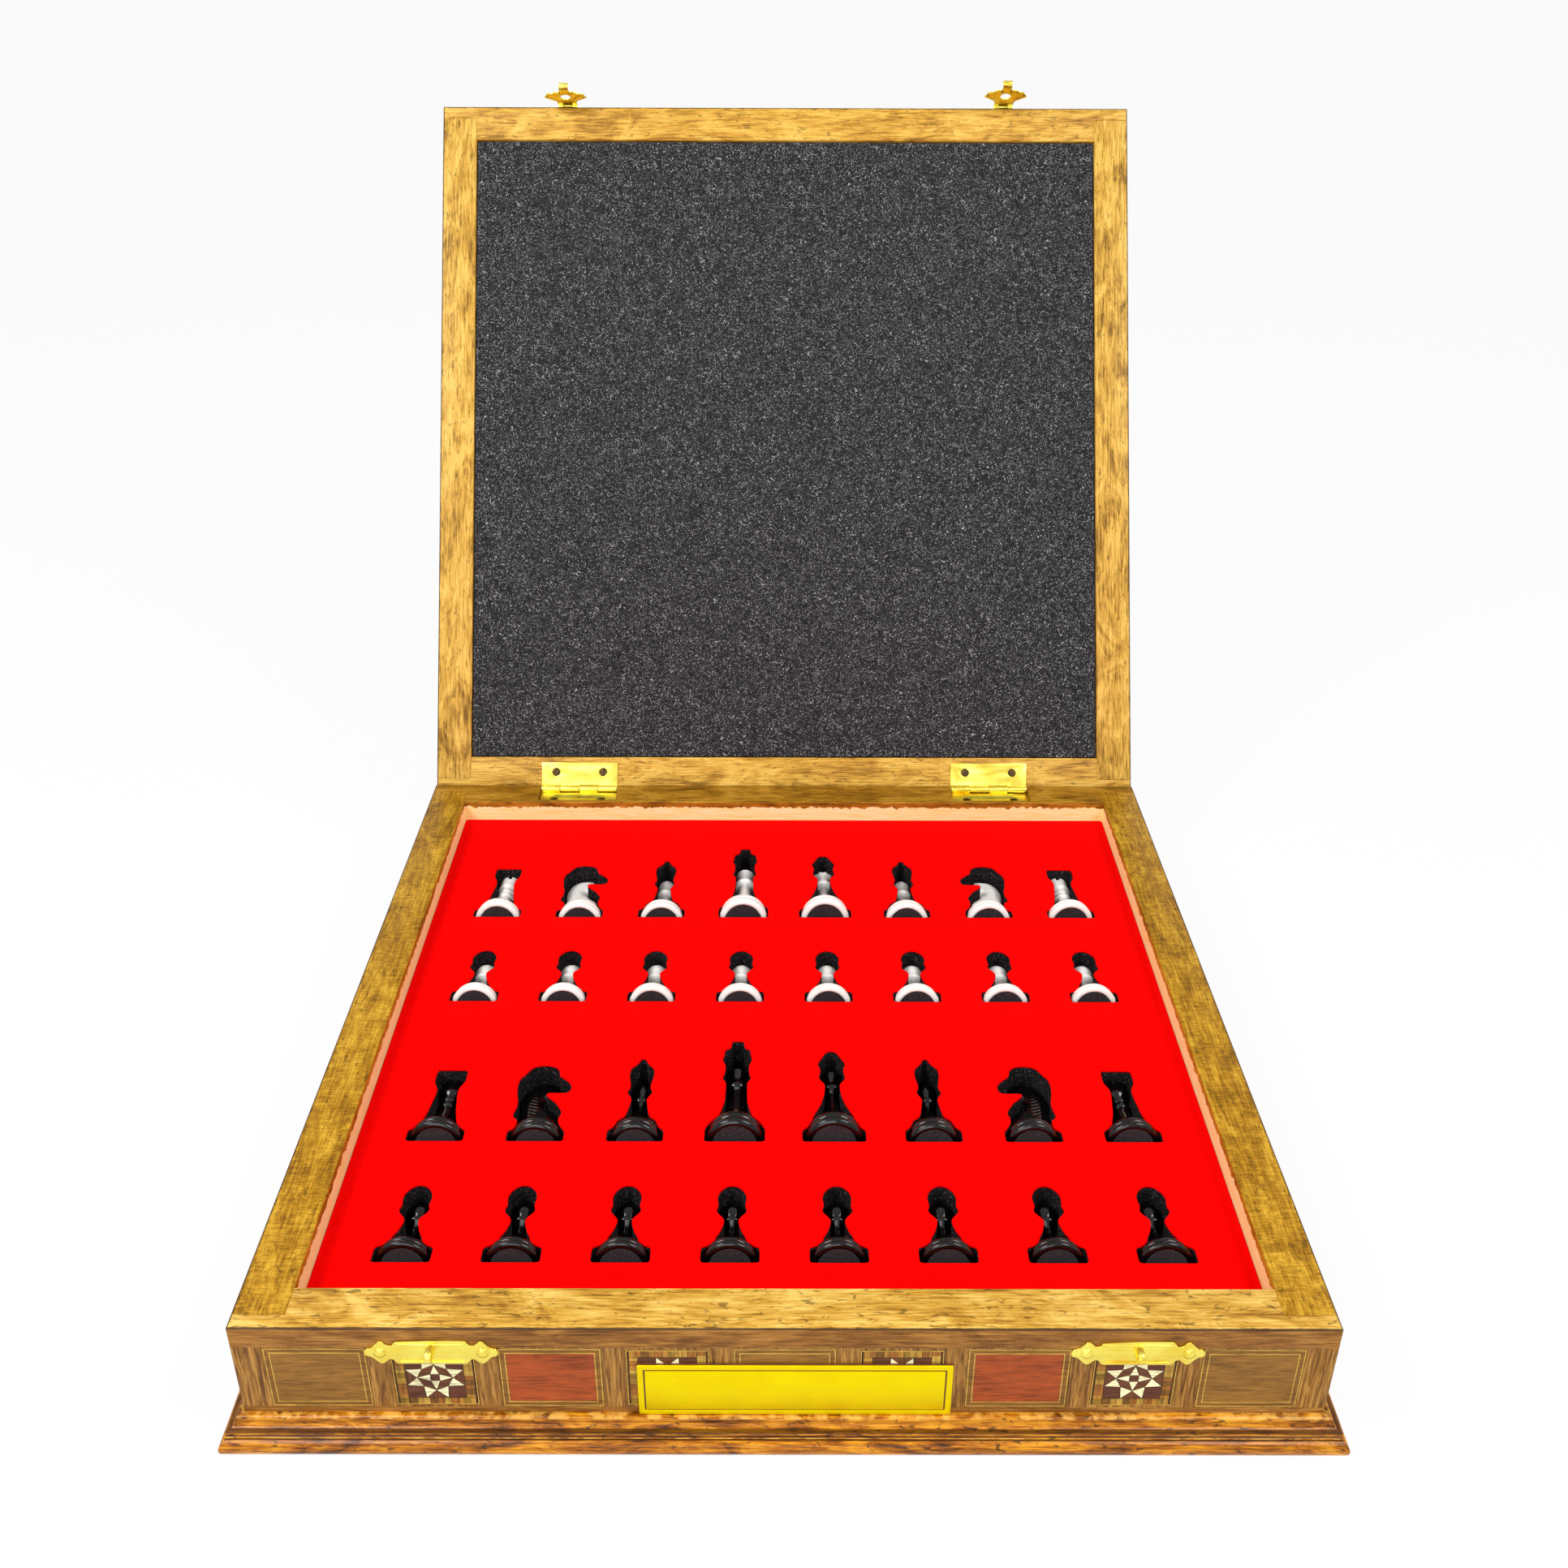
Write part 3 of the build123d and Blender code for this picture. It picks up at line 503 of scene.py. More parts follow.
def pattern(name, mesh):
    """A loose object, for a tree to copy from or a modifier to work on, until `modified` uses it up."""
    made = bpy.data.objects.new(name, mesh)
    scene.collection.objects.link(made)
    return made


def grow(name, grower, values):
    """Run a tree once and keep its mesh."""
    holder = pattern(name, bpy.data.meshes.new(name))
    modifier = holder.modifiers.new("grower", "NODES")
    modifier.node_group = grower.tree
    for item in grower.tree.interface.items_tree:
        if item.in_out == "INPUT":
            modifier[item.identifier] = values[item.name]
    mesh = modified(holder, *[value for value in values.values() if isinstance(value, bpy.types.Object)])
    mesh.name = name
    return mesh


# %% [markdown]
# ## Marquetry: the pieces of one block
# The band on each face is a mosaic of veneers glued into shallow seats: framed panels and star blocks in turn.
# Each veneer here is a thin prism of its own, so the joints and the tiny steps between woods are real, and each
# carries its wood's colour and grain as attributes for the material to read. The star is the old
# geometric one: four pairs of cream triangles round a ring, and four more round the middle.

# %% Veneers
WALNUT, RED_WOOD = (148, 102, 40), (168, 76, 30)
BAND_WOOD, LINE_WOOD, JOINT, CREAM = (138, 92, 36), (206, 164, 72), (74, 44, 18), (255, 246, 196)
STAR_GROUND, STAR_CORNER = (108, 64, 36), (100, 56, 38)
RING_WOODS = [(178, 124, 44), (150, 116, 36), (196, 156, 66), (122, 82, 28), (160, 100, 38), (184, 140, 54)]
veneer_depth = 0.5
shuffle = random.Random(7)


def prism(bm, outline, low, high):
    """Add a closed prism over an outline in mm, and return its faces."""
    below, above = ([bm.verts.new((x * MM, y * MM, z * MM)) for x, y in outline] for z in (low, high))
    faces = [bm.faces.new(above), bm.faces.new(below[::-1])]
    for corners in zip(below, below[1:] + below[:1], above[1:] + above[:1], above):
        faces.append(bm.faces.new(corners))
    return faces


def veneer_block(name, veneers):
    """Thin prisms (outline in mm, colour, upright grain, rise in mm), face to face, as a pattern."""
    bm = bmesh.new()
    paint = bm.faces.layers.float_color.new("veneer")
    grain = bm.faces.layers.float.new("upright")
    for outline, colour, upright, rise in veneers:
        for face in prism(bm, outline, -veneer_depth, rise):
            face[paint], face[grain] = tint(*colour), upright
    return pattern(name, mesh_of(bm, name))


def box_outline(x, y, width, height):
    return [(x - width / 2, y - height / 2), (x + width / 2, y - height / 2),
            (x + width / 2, y + height / 2), (x - width / 2, y + height / 2)]


def line_frame(width, height, thickness, colour, rise):
    """Four mitred strings round a rectangle."""
    outer = box_outline(0, 0, width, height)
    inner = box_outline(0, 0, width - 2 * thickness, height - 2 * thickness)
    sides = zip(outer, outer[1:] + outer[:1], inner[1:] + inner[:1], inner)
    return [(list(corners), colour, 0.0, rise) for corners in sides]


def framed_panel(colour):
    """A field inside two pale strings."""
    width, height = 32.4, 26.1
    return [
        (box_outline(0, 0, width, height), JOINT, 0.0, -0.05),
        *line_frame(width - 0.1, height - 0.1, 0.4, LINE_WOOD, 0.02),
        *line_frame(width - 1.0, height - 1.0, 1.25, BAND_WOOD, 0.0),
        *line_frame(width - 3.6, height - 3.6, 0.4, LINE_WOOD, 0.025),
        (box_outline(0, 0, width - 4.6, height - 4.6), colour, 0.0, 0.015),
    ]


def turned_about(points, quarter):
    """Points turned by quarter turns about the middle."""
    for _ in range(quarter):
        points = [(-y, x) for x, y in points]
    return points


def star_block():
    """The star and its ring of small blocks."""
    width, height, star, ring = 26.5, 24.9, 18.5, 2.95
    veneers = [(box_outline(0, 0, width, height), JOINT, 1.0, -0.05)]
    veneers += line_frame(width - 0.1, height - 0.1, 0.32, LINE_WOOD, 0.02)
    for side in range(4):
        blocks = []
        start = -star / 2 - ring
        while start < star / 2 - 0.1:
            length = min(shuffle.uniform(1.7, 2.9), star / 2 - start)
            blocks.append((start + length / 2, length))
            start += length
        for place, length in blocks:
            block = box_outline(place, (star + ring) / 2 + 0.1, length - 0.16, ring - 0.16)
            veneers.append((turned_about(block, side), shuffle.choice(RING_WOODS), 1.0, 0.015))
    half = star / 2 - 0.1
    # What one side of the star holds: outline in shares of half, colour, upright grain, rise.
    rays = [[(0.02 * hand, -0.63), (0.42 * hand, -0.44), (0.38 * hand, -0.985)] for hand in (-1, 1)]
    parts = [
        ([(0.43, 0.43), (1, 0.43), (1, 1), (0.43, 1)], STAR_CORNER, 0.0, 0.018),
        ([(-0.4, -1), (0.4, -1), (0.03, -0.6), (-0.03, -0.6)], STAR_GROUND, 1.0, 0.012),
        ([(0.17, -0.17), (0.03, -0.6), (0.43, -0.43), (0.6, -0.03)], STAR_GROUND, 0.0, 0.014),
        *[(ray, CREAM, 0.0, 0.035) for ray in rays],
        ([(-0.15, 0.17), (0.15, 0.17), (0.0, 0.59)], CREAM, 0.0, 0.035),
    ]
    for side in range(4):
        for outline, colour, upright, rise in parts:
            outline = [(x * half, y * half) for x, y in outline]
            veneers.append((turned_about(outline, side), colour, upright, rise))
    veneers.append((box_outline(0, 0, 0.3 * half, 0.3 * half), STAR_CORNER, 0.0, 0.015))
    return veneers


# %% [markdown]
# ## Marquetry: the band round the box
# One tree lays the band: a row of nine points at the blocks' pitch takes a star on every odd point and a
# panel on every even one, red on every other panel. The row is stood up on the front face and then copied to
# four faces by quarter turns, because all four are alike.

# %% Marquetry band
marquetry = Finish("marquetry_veneer", Roughness=0.5, Specular_IOR_Level=0.16, Coat_Weight=0.04,
                   Coat_Roughness=0.25)
lying = marquetry.noise(marquetry.scaled(marquetry.place, 130, 130, 1500), detail=4, distortion=0.5)
standing = marquetry.noise(marquetry.scaled(marquetry.place, 1500, 1500, 130), detail=4, distortion=0.5)
figure = marquetry.mix(marquetry.attribute("upright", "Fac"), lying, standing)
cloudy = marquetry.noise(marquetry.scaled(marquetry.place, 60, 60, 210), detail=4, roughness=0.65)
shade = marquetry.ramp(marquetry.mix(0.4, figure, cloudy), (0.36, 0.5), (0.5, 0.95), (0.64, 1.3))
marquetry.paint("Base Color", marquetry.mix(1.0, marquetry.attribute("veneer"), shade, "MULTIPLY"))
marquetry.relief(figure, 0.2, 0.15)

band = Grower("lay_marquetry_band", {
    "Star block": "Object", "Plain panel": "Object", "Red panel": "Object", "Blocks": "Int", "Pitch": "Float",
    "Half box": "Float", "Band height": "Float",
})
blocks, pitch = band.inputs["Blocks"], band.inputs["Pitch"]
first = band.maths("MULTIPLY", band.maths("SUBTRACT", blocks, 1.0), -0.5, pitch)
row = band.node("GeometryNodeMeshLine", {"Count": blocks, "Start Location": band.vector(x=first),
                                         "Offset": band.vector(x=pitch)}).outputs[0]
laid = band.node("GeometryNodeJoinGeometry")
for label, every, remainder in (("Star block", 2, 1), ("Plain panel", 4, 0), ("Red panel", 4, 2)):
    chosen = band.maths("COMPARE", band.maths("MODULO", band.index(), float(every)), float(remainder))
    band.tree.links.new(band.copies(row, band.shape(label), Selection=chosen), laid.inputs[0])
out = band.vector(y=band.maths("MULTIPLY", band.inputs["Half box"], -1.0), z=band.inputs["Band height"])
stood = band.node("GeometryNodeTransform", {"Geometry": laid.outputs[0], "Rotation": (math.pi / 2, 0, 0),
                                            "Translation": out}).outputs[0]
face_points = band.node("GeometryNodeMeshLine", {"Count": 4, "Offset": (0, 0, 0)}).outputs[0]
band.finish(band.copies(face_points, stood, Rotation=band.vector(z=band.maths("MULTIPLY", band.index(),
                                                                              math.pi / 2))))

band_mesh = grow("marquetry_band", band, {
    "Star block": veneer_block("star_block", star_block()),
    "Plain panel": veneer_block("plain_panel", framed_panel(WALNUT)),
    "Red panel": veneer_block("red_panel", framed_panel(RED_WOOD)),
    "Blocks": 9, "Pitch": 37.2 * MM, "Half box": 175.0 * MM, "Band height": 27.6 * MM,
    "Finish": marquetry.material,
})
settle("marquetry_band", band_mesh, None, "case_marquetry")
print("marquetry band:", len(band_mesh.polygons), "faces")

# %% [markdown]
# ## The playing board
# Shut, the lid is the board: eight by eight squares of light and dark veneer, here with a mitred border that
# brings the lid's top level with its rails. The squares are a rule, so a grid of points grows them: each point
# takes the same eased square, and a point's row and column say whether it is dark.

# %% Board squares
squares = Grower("lay_board_squares", {"Square": "Object", "Along": "Int", "Pitch": "Float"})
along = squares.inputs["Along"]
span = squares.maths("MULTIPLY", squares.maths("SUBTRACT", along, 1.0), squares.inputs["Pitch"])
grid = squares.node("GeometryNodeMeshGrid", {"Size X": span, "Size Y": span, "Vertices X": along,
                                             "Vertices Y": along}).outputs[0]
column = squares.maths("FLOOR", squares.maths("DIVIDE", squares.index(), along))
parity = squares.maths("MODULO", squares.maths("ADD", column, squares.index()), 2.0)
marked = squares.node("GeometryNodeStoreNamedAttribute", {
    "Geometry": squares.copies(grid, squares.shape("Square")), "Name": "dark_square", "Value": parity,
}, domain="INSTANCE")
squares.finish(marked.outputs[0])

board_finish = Finish("board_veneer", Roughness=0.3, Coat_Weight=0.4, Coat_Roughness=0.15)
board_place = board_finish.turned(board_finish.place, -LID_ANGLE, shut_shift)
board_grain = board_finish.noise(board_finish.scaled(board_place, 1200, 60, 60), detail=4, distortion=0.6)
maple = board_finish.tones(board_grain, (0.35, (206, 166, 106)), (0.65, (234, 202, 146)))
rosewood = board_finish.tones(board_grain, (0.35, (46, 24, 14)), (0.65, (96, 54, 28)))
board_finish.paint("Base Color", board_finish.mix(board_finish.attribute("dark_square", "Fac"), maple, rosewood))
board_finish.relief(board_grain, 0.12, 0.12)

square_side, square_gap, board_face = 36.0, 0.04, 71.8
string_inside, string_width, border_half = square_side * 4 + 0.05, 1.2, 165.7
flat = (square_side - square_gap) * MM
square_bm = bmesh.new()
bmesh.ops.create_cube(square_bm, size=1.0)
bmesh.ops.scale(square_bm, vec=(flat, flat, 0.6 * MM), verts=square_bm.verts)
bmesh.ops.bevel(square_bm, geom=square_bm.edges[:], offset=0.08 * MM, segments=1, affect="EDGES")
checker = grow("board_checker", squares, {"Square": pattern("board_square", mesh_of(square_bm, "board_square")),
                                          "Along": 8, "Pitch": square_side * MM, "Finish": board_finish.material})

border_bm = bmesh.new()
dark_mark = border_bm.faces.layers.float.new("dark_square")
for side in range(4):
    for inner, outer, dark in ((string_inside, string_inside + string_width, 0.0),
                               (string_inside + string_width + 0.05, border_half, 1.0)):
        outline = [(-inner, inner), (-outer, outer), (outer, outer), (inner, inner)]
        for face in prism(border_bm, turned_about(outline, side), -0.3, 0.28):
            face[dark_mark] = dark

board_mesh = joined("board_veneers", checker, mesh_of(border_bm, "board_border"))
board_mesh.transform(lid_open @ Matrix.Translation((0, 0, (board_face - 0.3) * MM)))
settle("board_veneers", board_mesh, [board_finish.material], "board_squares")
print("board:", len(board_mesh.polygons), "faces")

# %% [markdown]
# ## Plates with rounded rims
# Sheet metal, the tray's cut foam and its red cover are all flat sheets with holes and a softly rounded rim.
# `rounded_plate` takes loops of points, the outside first and the holes after it, and builds both faces, the
# walls and the rounding between them as one closed mesh. A rim is a few copies of each loop, each moved a
# little towards the material.

# %% Rounded plates
def area_of(loop):
    return sum(a.x * b.y - b.x * a.y for a, b in zip(loop, loop[1:] + loop[:1])) / 2


def moved_loop(loop, distance):
    """Every point moved towards the material, which lies on the loop's left."""
    moved = []
    for before, here, after in zip(loop[-1:] + loop[:-1], loop, loop[1:] + loop[:1]):
        arrive, leave = (here - before).normalized(), (after - here).normalized()
        left_in, left_out = Vector((-arrive.y, arrive.x)), Vector((-leave.y, leave.x))
        middle = (left_in + left_out).normalized() if (left_in + left_out).length > 1e-6 else left_in
        moved.append(here + middle * distance / max(middle.dot(left_in), 0.5))
    return moved


def rounded_plate(name, loops, low, high, ease, steps=2):
    """A flat sheet in mm, from low to high, with its rims rounded by ease."""
    loops = [[Vector(point) for point in loop] for loop in loops]
    loops = [loop if (area_of(loop) > 0) == (number == 0) else loop[::-1] for number, loop in enumerate(loops)]
    turns = [math.pi / 2 * step / steps for step in range(steps + 1)]
    rings = [(ease * (1 - math.sin(a)), low + ease * (1 - math.cos(a))) for a in turns]
    rings += [(ease * (1 - math.cos(a)), high - ease * (1 - math.sin(a))) for a in turns]
    bm = bmesh.new()
    made = []
    for inset, z in rings:
        flat = [moved_loop(loop, inset) for loop in loops]
        made.append([[bm.verts.new((p.x * MM, p.y * MM, z * MM)) for p in loop] for loop in flat])
    for below, above in zip(made, made[1:]):
        for under, over in zip(below, above):
            for a, b, c, d in zip(under, under[1:] + under[:1], over[1:] + over[:1], over):
                bm.faces.new((a, b, c, d))
    for ring, flip in ((made[0], True), (made[-1], False)):
        points = [vert for loop in ring for vert in loop]
        for triangle in tessellate_polygon([[vert.co for vert in loop] for loop in ring]):
            corners = [points[number] for number in triangle]
            bm.faces.new(corners[::-1] if flip else corners)
    bmesh.ops.remove_doubles(bm, verts=bm.verts, dist=1e-7)
    return mesh_of(bm, name, smooth_angle=40)


def softened(points, cut, rounds=2):
    """A closed outline with its corners cut back, twice over, by at most cut mm."""
    points = [Vector(point) for point in points]
    for _ in range(rounds):
        cut_points = []
        for a, b in zip(points, points[1:] + points[:1]):
            length = (b - a).length
            share = min(0.25, cut / max(length, 1e-6))
            cut_points += [a.lerp(b, share), a.lerp(b, 1 - share)]
        points = cut_points
    return points


def circle_points(x, y, radius):
    sides = 24
    angles = [2 * math.pi * step / sides for step in range(sides)]
    return [(x + radius * math.cos(a), y + radius * math.sin(a)) for a in angles]


# %% [markdown]
# ## Where each man lies
# The men lie on their sides with their bases to the front, tipped until base rim and head both touch the
# pocket's floor. The same few sizes that place them in CAD place them here: a kind's rough outline gives its
# lean, and the lean gives its height and the shape of its cut-out.

# %% Men's sizes and places
men_sizes = {"pawn": (34.5, 9.8), "rook": (39.3, 10.3), "knight": (42.4, 10.0), "bishop": (45.4, 9.9),
             "queen": (50.2, 11.0), "king": (55.8, 10.9)}
rough_outlines = {
    "pawn": [(0, 1), (0.093, 1), (0.2, 0.64), (0.59, 0.215), (0.7, 0.49), (0.885, 0.49), (1, 0.22)],
    "rook": [(0, 1), (0.087, 1), (0.2, 0.62), (0.65, 0.28), (0.75, 0.47), (1, 0.5)],
    "knight": [(0, 1), (0.078, 1), (0.16, 0.78), (0.2, 0.74)],
    "bishop": [(0, 1), (0.073, 1), (0.185, 0.62), (0.545, 0.22), (0.63, 0.43), (0.665, 0.29), (0.84, 0.42),
               (1, 0.09)],
    "queen": [(0, 1), (0.07, 1), (0.185, 0.64), (0.65, 0.19), (0.71, 0.43), (0.8, 0.28), (0.895, 0.43),
              (0.91, 0.25), (1, 0.12)],
    "king": [(0, 1), (0.064, 1), (0.18, 0.63), (0.36, 0.35), (0.61, 0.28), (0.65, 0.46), (0.73, 0.31),
             (0.82, 0.4), (0.91, 0.38)],
}
knight_half = 4.3
pocket_fit, pocket_floor, floor_gap = 0.5, 24.0, 0.3
row_fronts = {"white_back": 71.3, "white_pawns": 8.5, "black_back": -77.1, "black_pawns": -137.1}
back_row = ["rook", "knight", "bishop", "king", "queen", "bishop", "knight", "rook"]
column_pitch = 37.0


def rough_stations(kind):
    length, base = men_sizes[kind]
    return [(height * length, radius * base) for height, radius in rough_outlines[kind]]


def lean_of(kind):
    """How far a lying man's axis dips, base rim and head both on the floor."""
    points = rough_stations(kind)
    rim_height, rim_radius = points[1]
    if kind == "knight":
        return math.atan2(rim_radius - knight_half, men_sizes[kind][0] - rim_height)
    return min(math.atan2(rim_radius - radius, height - rim_height) for height, radius in points[2:])


def lying_place(kind, x, front, mirrored):
    """The matrix from a man's upright frame, in metres, to where it lies."""
    lean = lean_of(kind)
    rim_height, rim_radius = rough_stations(kind)[1]
    y = front + pocket_fit + men_sizes[kind][1] * math.sin(lean)
    z = pocket_floor + floor_gap + rim_height * math.sin(lean) + rim_radius * math.cos(lean)
    place = Matrix.Translation(Vector((x, y, z)) * MM) @ Matrix.Rotation(-math.pi / 2 - lean, 4, "X")
    return place @ Matrix.Rotation(math.pi, 4, "Z") if mirrored else place


men = []
for army in ("white", "black"):
    for step in range(8):
        kind, wing = back_row[step], "left" if step < 4 else "right"
        name = f"{army}_{kind}" if kind in ("king", "queen") else f"{army}_{kind}_{wing}"
        men.append((name, kind, (step - 3.5) * column_pitch, row_fronts[f"{army}_back"], wing == "right"))
    for step in range(8):
        men.append((f"{army}_pawn_{step + 1}", "pawn", (step - 3.5) * column_pitch, row_fronts[f"{army}_pawns"],
                    False))
print(len(men), "men to lay down")

# %% [markdown]
# ## Cut-outs
# A cut-out follows the man that lies in it, a little larger all round: a square bay for the base, a slope up
# the shaft, a notch for each collar and a round head. Each kind has one outline of (half width, distance from the
# cut-out's front) in millimetres, mirrored to the other side; the knight's goes all the way round. The corners are
# then softened the way a die cuts foam.

# %% Cut-outs
pockets = {
    "pawn": [(10, 0), (10, 7), (7.2, 8), (5.4, 10), (4.9, 12.2), (3.8, 14), (2.6, 18), (2.4, 20.3), (5.1, 23.6),
             (5.3, 25.2), (4.6, 26.8), (5.1, 30.2), (4.9, 32.2), (4.1, 34.2), (2.6, 36), (1, 36.9)],
    "rook": [(10.6, 0), (10.6, 6), (7.4, 8.2), (6.6, 10.4), (5.3, 16), (4, 27), (4.1, 29.8), (5.8, 33.4), (6, 36),
             (5.8, 41)],
    "knight": [(10.6, 0), (10.6, 5.6), (9.4, 7.2), (7.6, 10.4), (7.4, 13), (8.4, 16), (7.2, 18.6), (5.2, 22),
               (2.2, 24.8), (1, 26.6), (2.4, 27.3), (9, 27.2), (10.4, 29), (10.3, 32), (8.6, 34.4), (6.9, 36),
               (5, 37.6), (4.6, 41), (2.6, 43.2), (-1, 44), (-4.6, 43.4), (-6.4, 42), (-8.4, 38), (-9.9, 36),
               (-10.4, 32), (-9.9, 26.5), (-8.9, 22), (-9, 18.6), (-9.9, 15), (-9.4, 13), (-7.8, 12),
               (-7.8, 9.4), (-8.4, 7), (-10.2, 6), (-10.6, 5), (-10.6, 0)],
    "bishop": [(10.5, 0), (10.5, 6.2), (8.4, 8), (7, 12), (4.7, 13.6), (3.9, 16.4), (2.8, 24), (4.9, 27.6),
               (3.7, 31), (4.8, 38.4), (4.4, 42.2), (1.7, 45.4), (0.9, 48.2)],
    "queen": [(11.8, 0), (11.8, 6.4), (9.6, 8), (8.2, 11.4), (7.6, 14), (5.6, 18.6), (4.6, 21), (3.2, 26.6),
              (2.7, 32.4), (5.2, 36.2), (4.3, 41.4), (5.5, 45.2), (4.1, 48), (2.5, 51.4), (1.4, 53)],
    "king": [(11.2, 0), (11.2, 7.4), (8.4, 12), (6.3, 14.2), (5, 19), (4.2, 23), (4, 33.6), (5.7, 36.2), (4.7, 39),
             (4.5, 44), (5.9, 47.6), (5.2, 50), (5, 54), (2.6, 55), (2.3, 59.4)],
}


def cutout(kind, x, front, mirrored):
    """The closed outline of one pocket, in mm."""
    half = pockets[kind]
    loop = half if kind == "knight" else half + [(-px, py) for px, py in half[::-1]]
    hand = -1 if mirrored else 1
    return softened([(x + hand * px, front + py) for px, py in loop], 0.65)


cutouts = [cutout(kind, x, front, mirrored) for _, kind, x, front, mirrored in men]
print(len(cutouts), "cut-outs of", len(cutouts[0]), "to", max(map(len, cutouts)), "points")

# %% [markdown]
# ## Foam tray and its red cover
# Two layers of black foam carry the men: a plain one below, and a die-cut one above it. On top lies a sheet of
# red flocked card with the same cut-outs. Cut foam shows torn cells that catch the light as short pale hairs,
# so its finish is charcoal with a fine speckle of painted glints and a rough relief.

# %% Foam and flock finishes
def foam_finish(name, ground, glint_colour, strength):
    made = Finish(name, Roughness=0.95, Specular_IOR_Level=0.12)
    cells = made.noise(made.place, scale=700, detail=2, distortion=1.8)
    # The pale speckle is painted glints: light caught on the torn cells, put into the colour.
    painted_glints = made.ramp(made.noise(made.place, scale=620, detail=2, roughness=0.75, distortion=3.0),
                      (0.58, 0.0), (0.67, strength))
    colour = made.ramp(cells, (0.35, darker(ground, 0.62)), (0.65, tint(*ground)))
    made.paint("Base Color", made.mix(painted_glints, colour, tint(*glint_colour)))
    made.relief(made.mix(0.5, cells, painted_glints), 0.5, 0.5)
    return made.material


# The tray's foam is the lid's black foam painted darker, with dimmer specks: painted shade in its deep pockets.
tray_foam_painted_shade = foam_finish("tray_foam_cells", (22, 20, 22), (120, 112, 116), 0.8)
lid_foam_finish = foam_finish("lid_foam_cells", (44, 44, 47), (206, 206, 208), 1.0)

flock = Finish("red_flock", Roughness=0.96, Specular_IOR_Level=0.05)
nap = flock.noise(flock.place, scale=900, detail=3)
flock.paint("Base Color", flock.ramp(nap, (0.3, (0.94, 0.0, 0.0, 1)), (0.6, (1.0, 0.0, 0.0, 1))))
flock.relief(nap, 0.1, 0.1)

# %% Tray
foam_half, foam_bottom, foam_top, cover_top, parting = 157.8, 4.0, 38.5, 39.5, 0.02
foam_square = softened(box_outline(0, 0, 2 * foam_half, 2 * foam_half), 0.6)
pierced = rounded_plate("foam_layer", [foam_square, *cutouts], pocket_floor + parting, foam_top - parting, 0.35)
plain = rounded_plate("foam_base", [foam_square], foam_bottom + parting, pocket_floor, 0.5)
tray = settle("cut_foam_tray", joined("cut_foam_tray", plain, pierced), [tray_foam_painted_shade], "tray_foam")

cover_mesh = rounded_plate("red_cover", [foam_square, *cutouts], foam_top + parting, cover_top, 0.3)
cover = settle("red_cover", cover_mesh, [flock.material], "tray_liner")
side = 2 * foam_half * MM

# %% [markdown]
# ## Foam in the lid
# The lid's foam is one soft slab, a little proud in the middle and rolled at its edges. It starts as a box cut
# into small faces; each point near an edge is pulled onto a rounded corner, and the open face gets a
# shallow, uneven swell.

# %% Lid foam
def soft_slab(name, low, high, radius, cells, swell):
    """A box in metres with rolled edges and an uneven lower face."""
    low, high = Vector(low), Vector(high)
    bm = bmesh.new()
    bmesh.ops.create_grid(bm, x_segments=cells, y_segments=cells, size=0.5)
    bottom = bm.faces[:]
    grown = bmesh.ops.extrude_face_region(bm, geom=bottom)
    for vert in (part for part in grown["geom"] if isinstance(part, bmesh.types.BMVert)):
        vert.co.z = 1.0
    rim = [edge for edge in bm.edges if abs(edge.verts[0].co.z - edge.verts[1].co.z) > 0.5]
    bmesh.ops.subdivide_edges(bm, edges=rim, cuts=6, use_grid_fill=True)
    for vert in bm.verts:
        place = Vector((low.x + (vert.co.x + 0.5) * (high.x - low.x), low.y + (vert.co.y + 0.5) * (high.y - low.y),
                        low.z + vert.co.z * (high.z - low.z)))
        core = Vector([min(max(place[i], low[i] + radius), high[i] - radius) for i in range(3)])
        offset = place - core
        if offset.length > radius:
            place = core + offset.normalized() * radius
        if vert.co.z < 0.01:
            rough = noise.noise(place * 60) + 0.5 * noise.noise(place * 210)
            place.z += swell * (0.6 - rough) * 0.5
        vert.co = place
    return mesh_of(bm, name, smooth_angle=60)


lid_foam_mesh = soft_slab("lid_foam_slab", (-foam_half * MM, -foam_half * MM, 50.8 * MM),
                          (foam_half * MM, foam_half * MM, 67.75 * MM), 1.2 * MM, 90, 0.35 * MM)
lid_foam_mesh.transform(lid_open)
lid_foam = settle("lid_foam_slab", lid_foam_mesh, [lid_foam_finish], "lid_foam")
print("lid foam:", len(lid_foam_mesh.polygons), "faces")

# %% [markdown]
# ## Turning
# Chessmen, screw heads, nails and knuckles are all turned: an outline goes round an axis. The tree
# makes a grid with one column for each step round and one row for each point of the outline, and then moves every
# grid point to its outline point, turned by its column's angle. Merging by distance closes the seam
# and the poles.

# %% Turning tree
lathe = Grower("turn_an_outline", {"Outline": "Object", "Sides": "Int"})
outline = lathe.shape("Outline")
rows = lathe.node("GeometryNodeAttributeDomainSize", {0: outline}, component="MESH").outputs["Point Count"]
sheet = lathe.node("GeometryNodeMeshGrid", {"Vertices X": lathe.maths("ADD", lathe.inputs["Sides"], 1.0),
                                            "Vertices Y": rows}).outputs[0]
row_number = lathe.maths("MODULO", lathe.index(), rows)
column_number = lathe.maths("FLOOR", lathe.maths("DIVIDE", lathe.index(), rows))
position = lathe.node("GeometryNodeInputPosition").outputs[0]
on_outline = lathe.node("GeometryNodeSampleIndex", {"Geometry": outline, "Value": position, "Index": row_number},
                        data_type="FLOAT_VECTOR", domain="POINT").outputs[0]
radius, _, height = lathe.node("ShaderNodeSeparateXYZ", {0: on_outline}).outputs
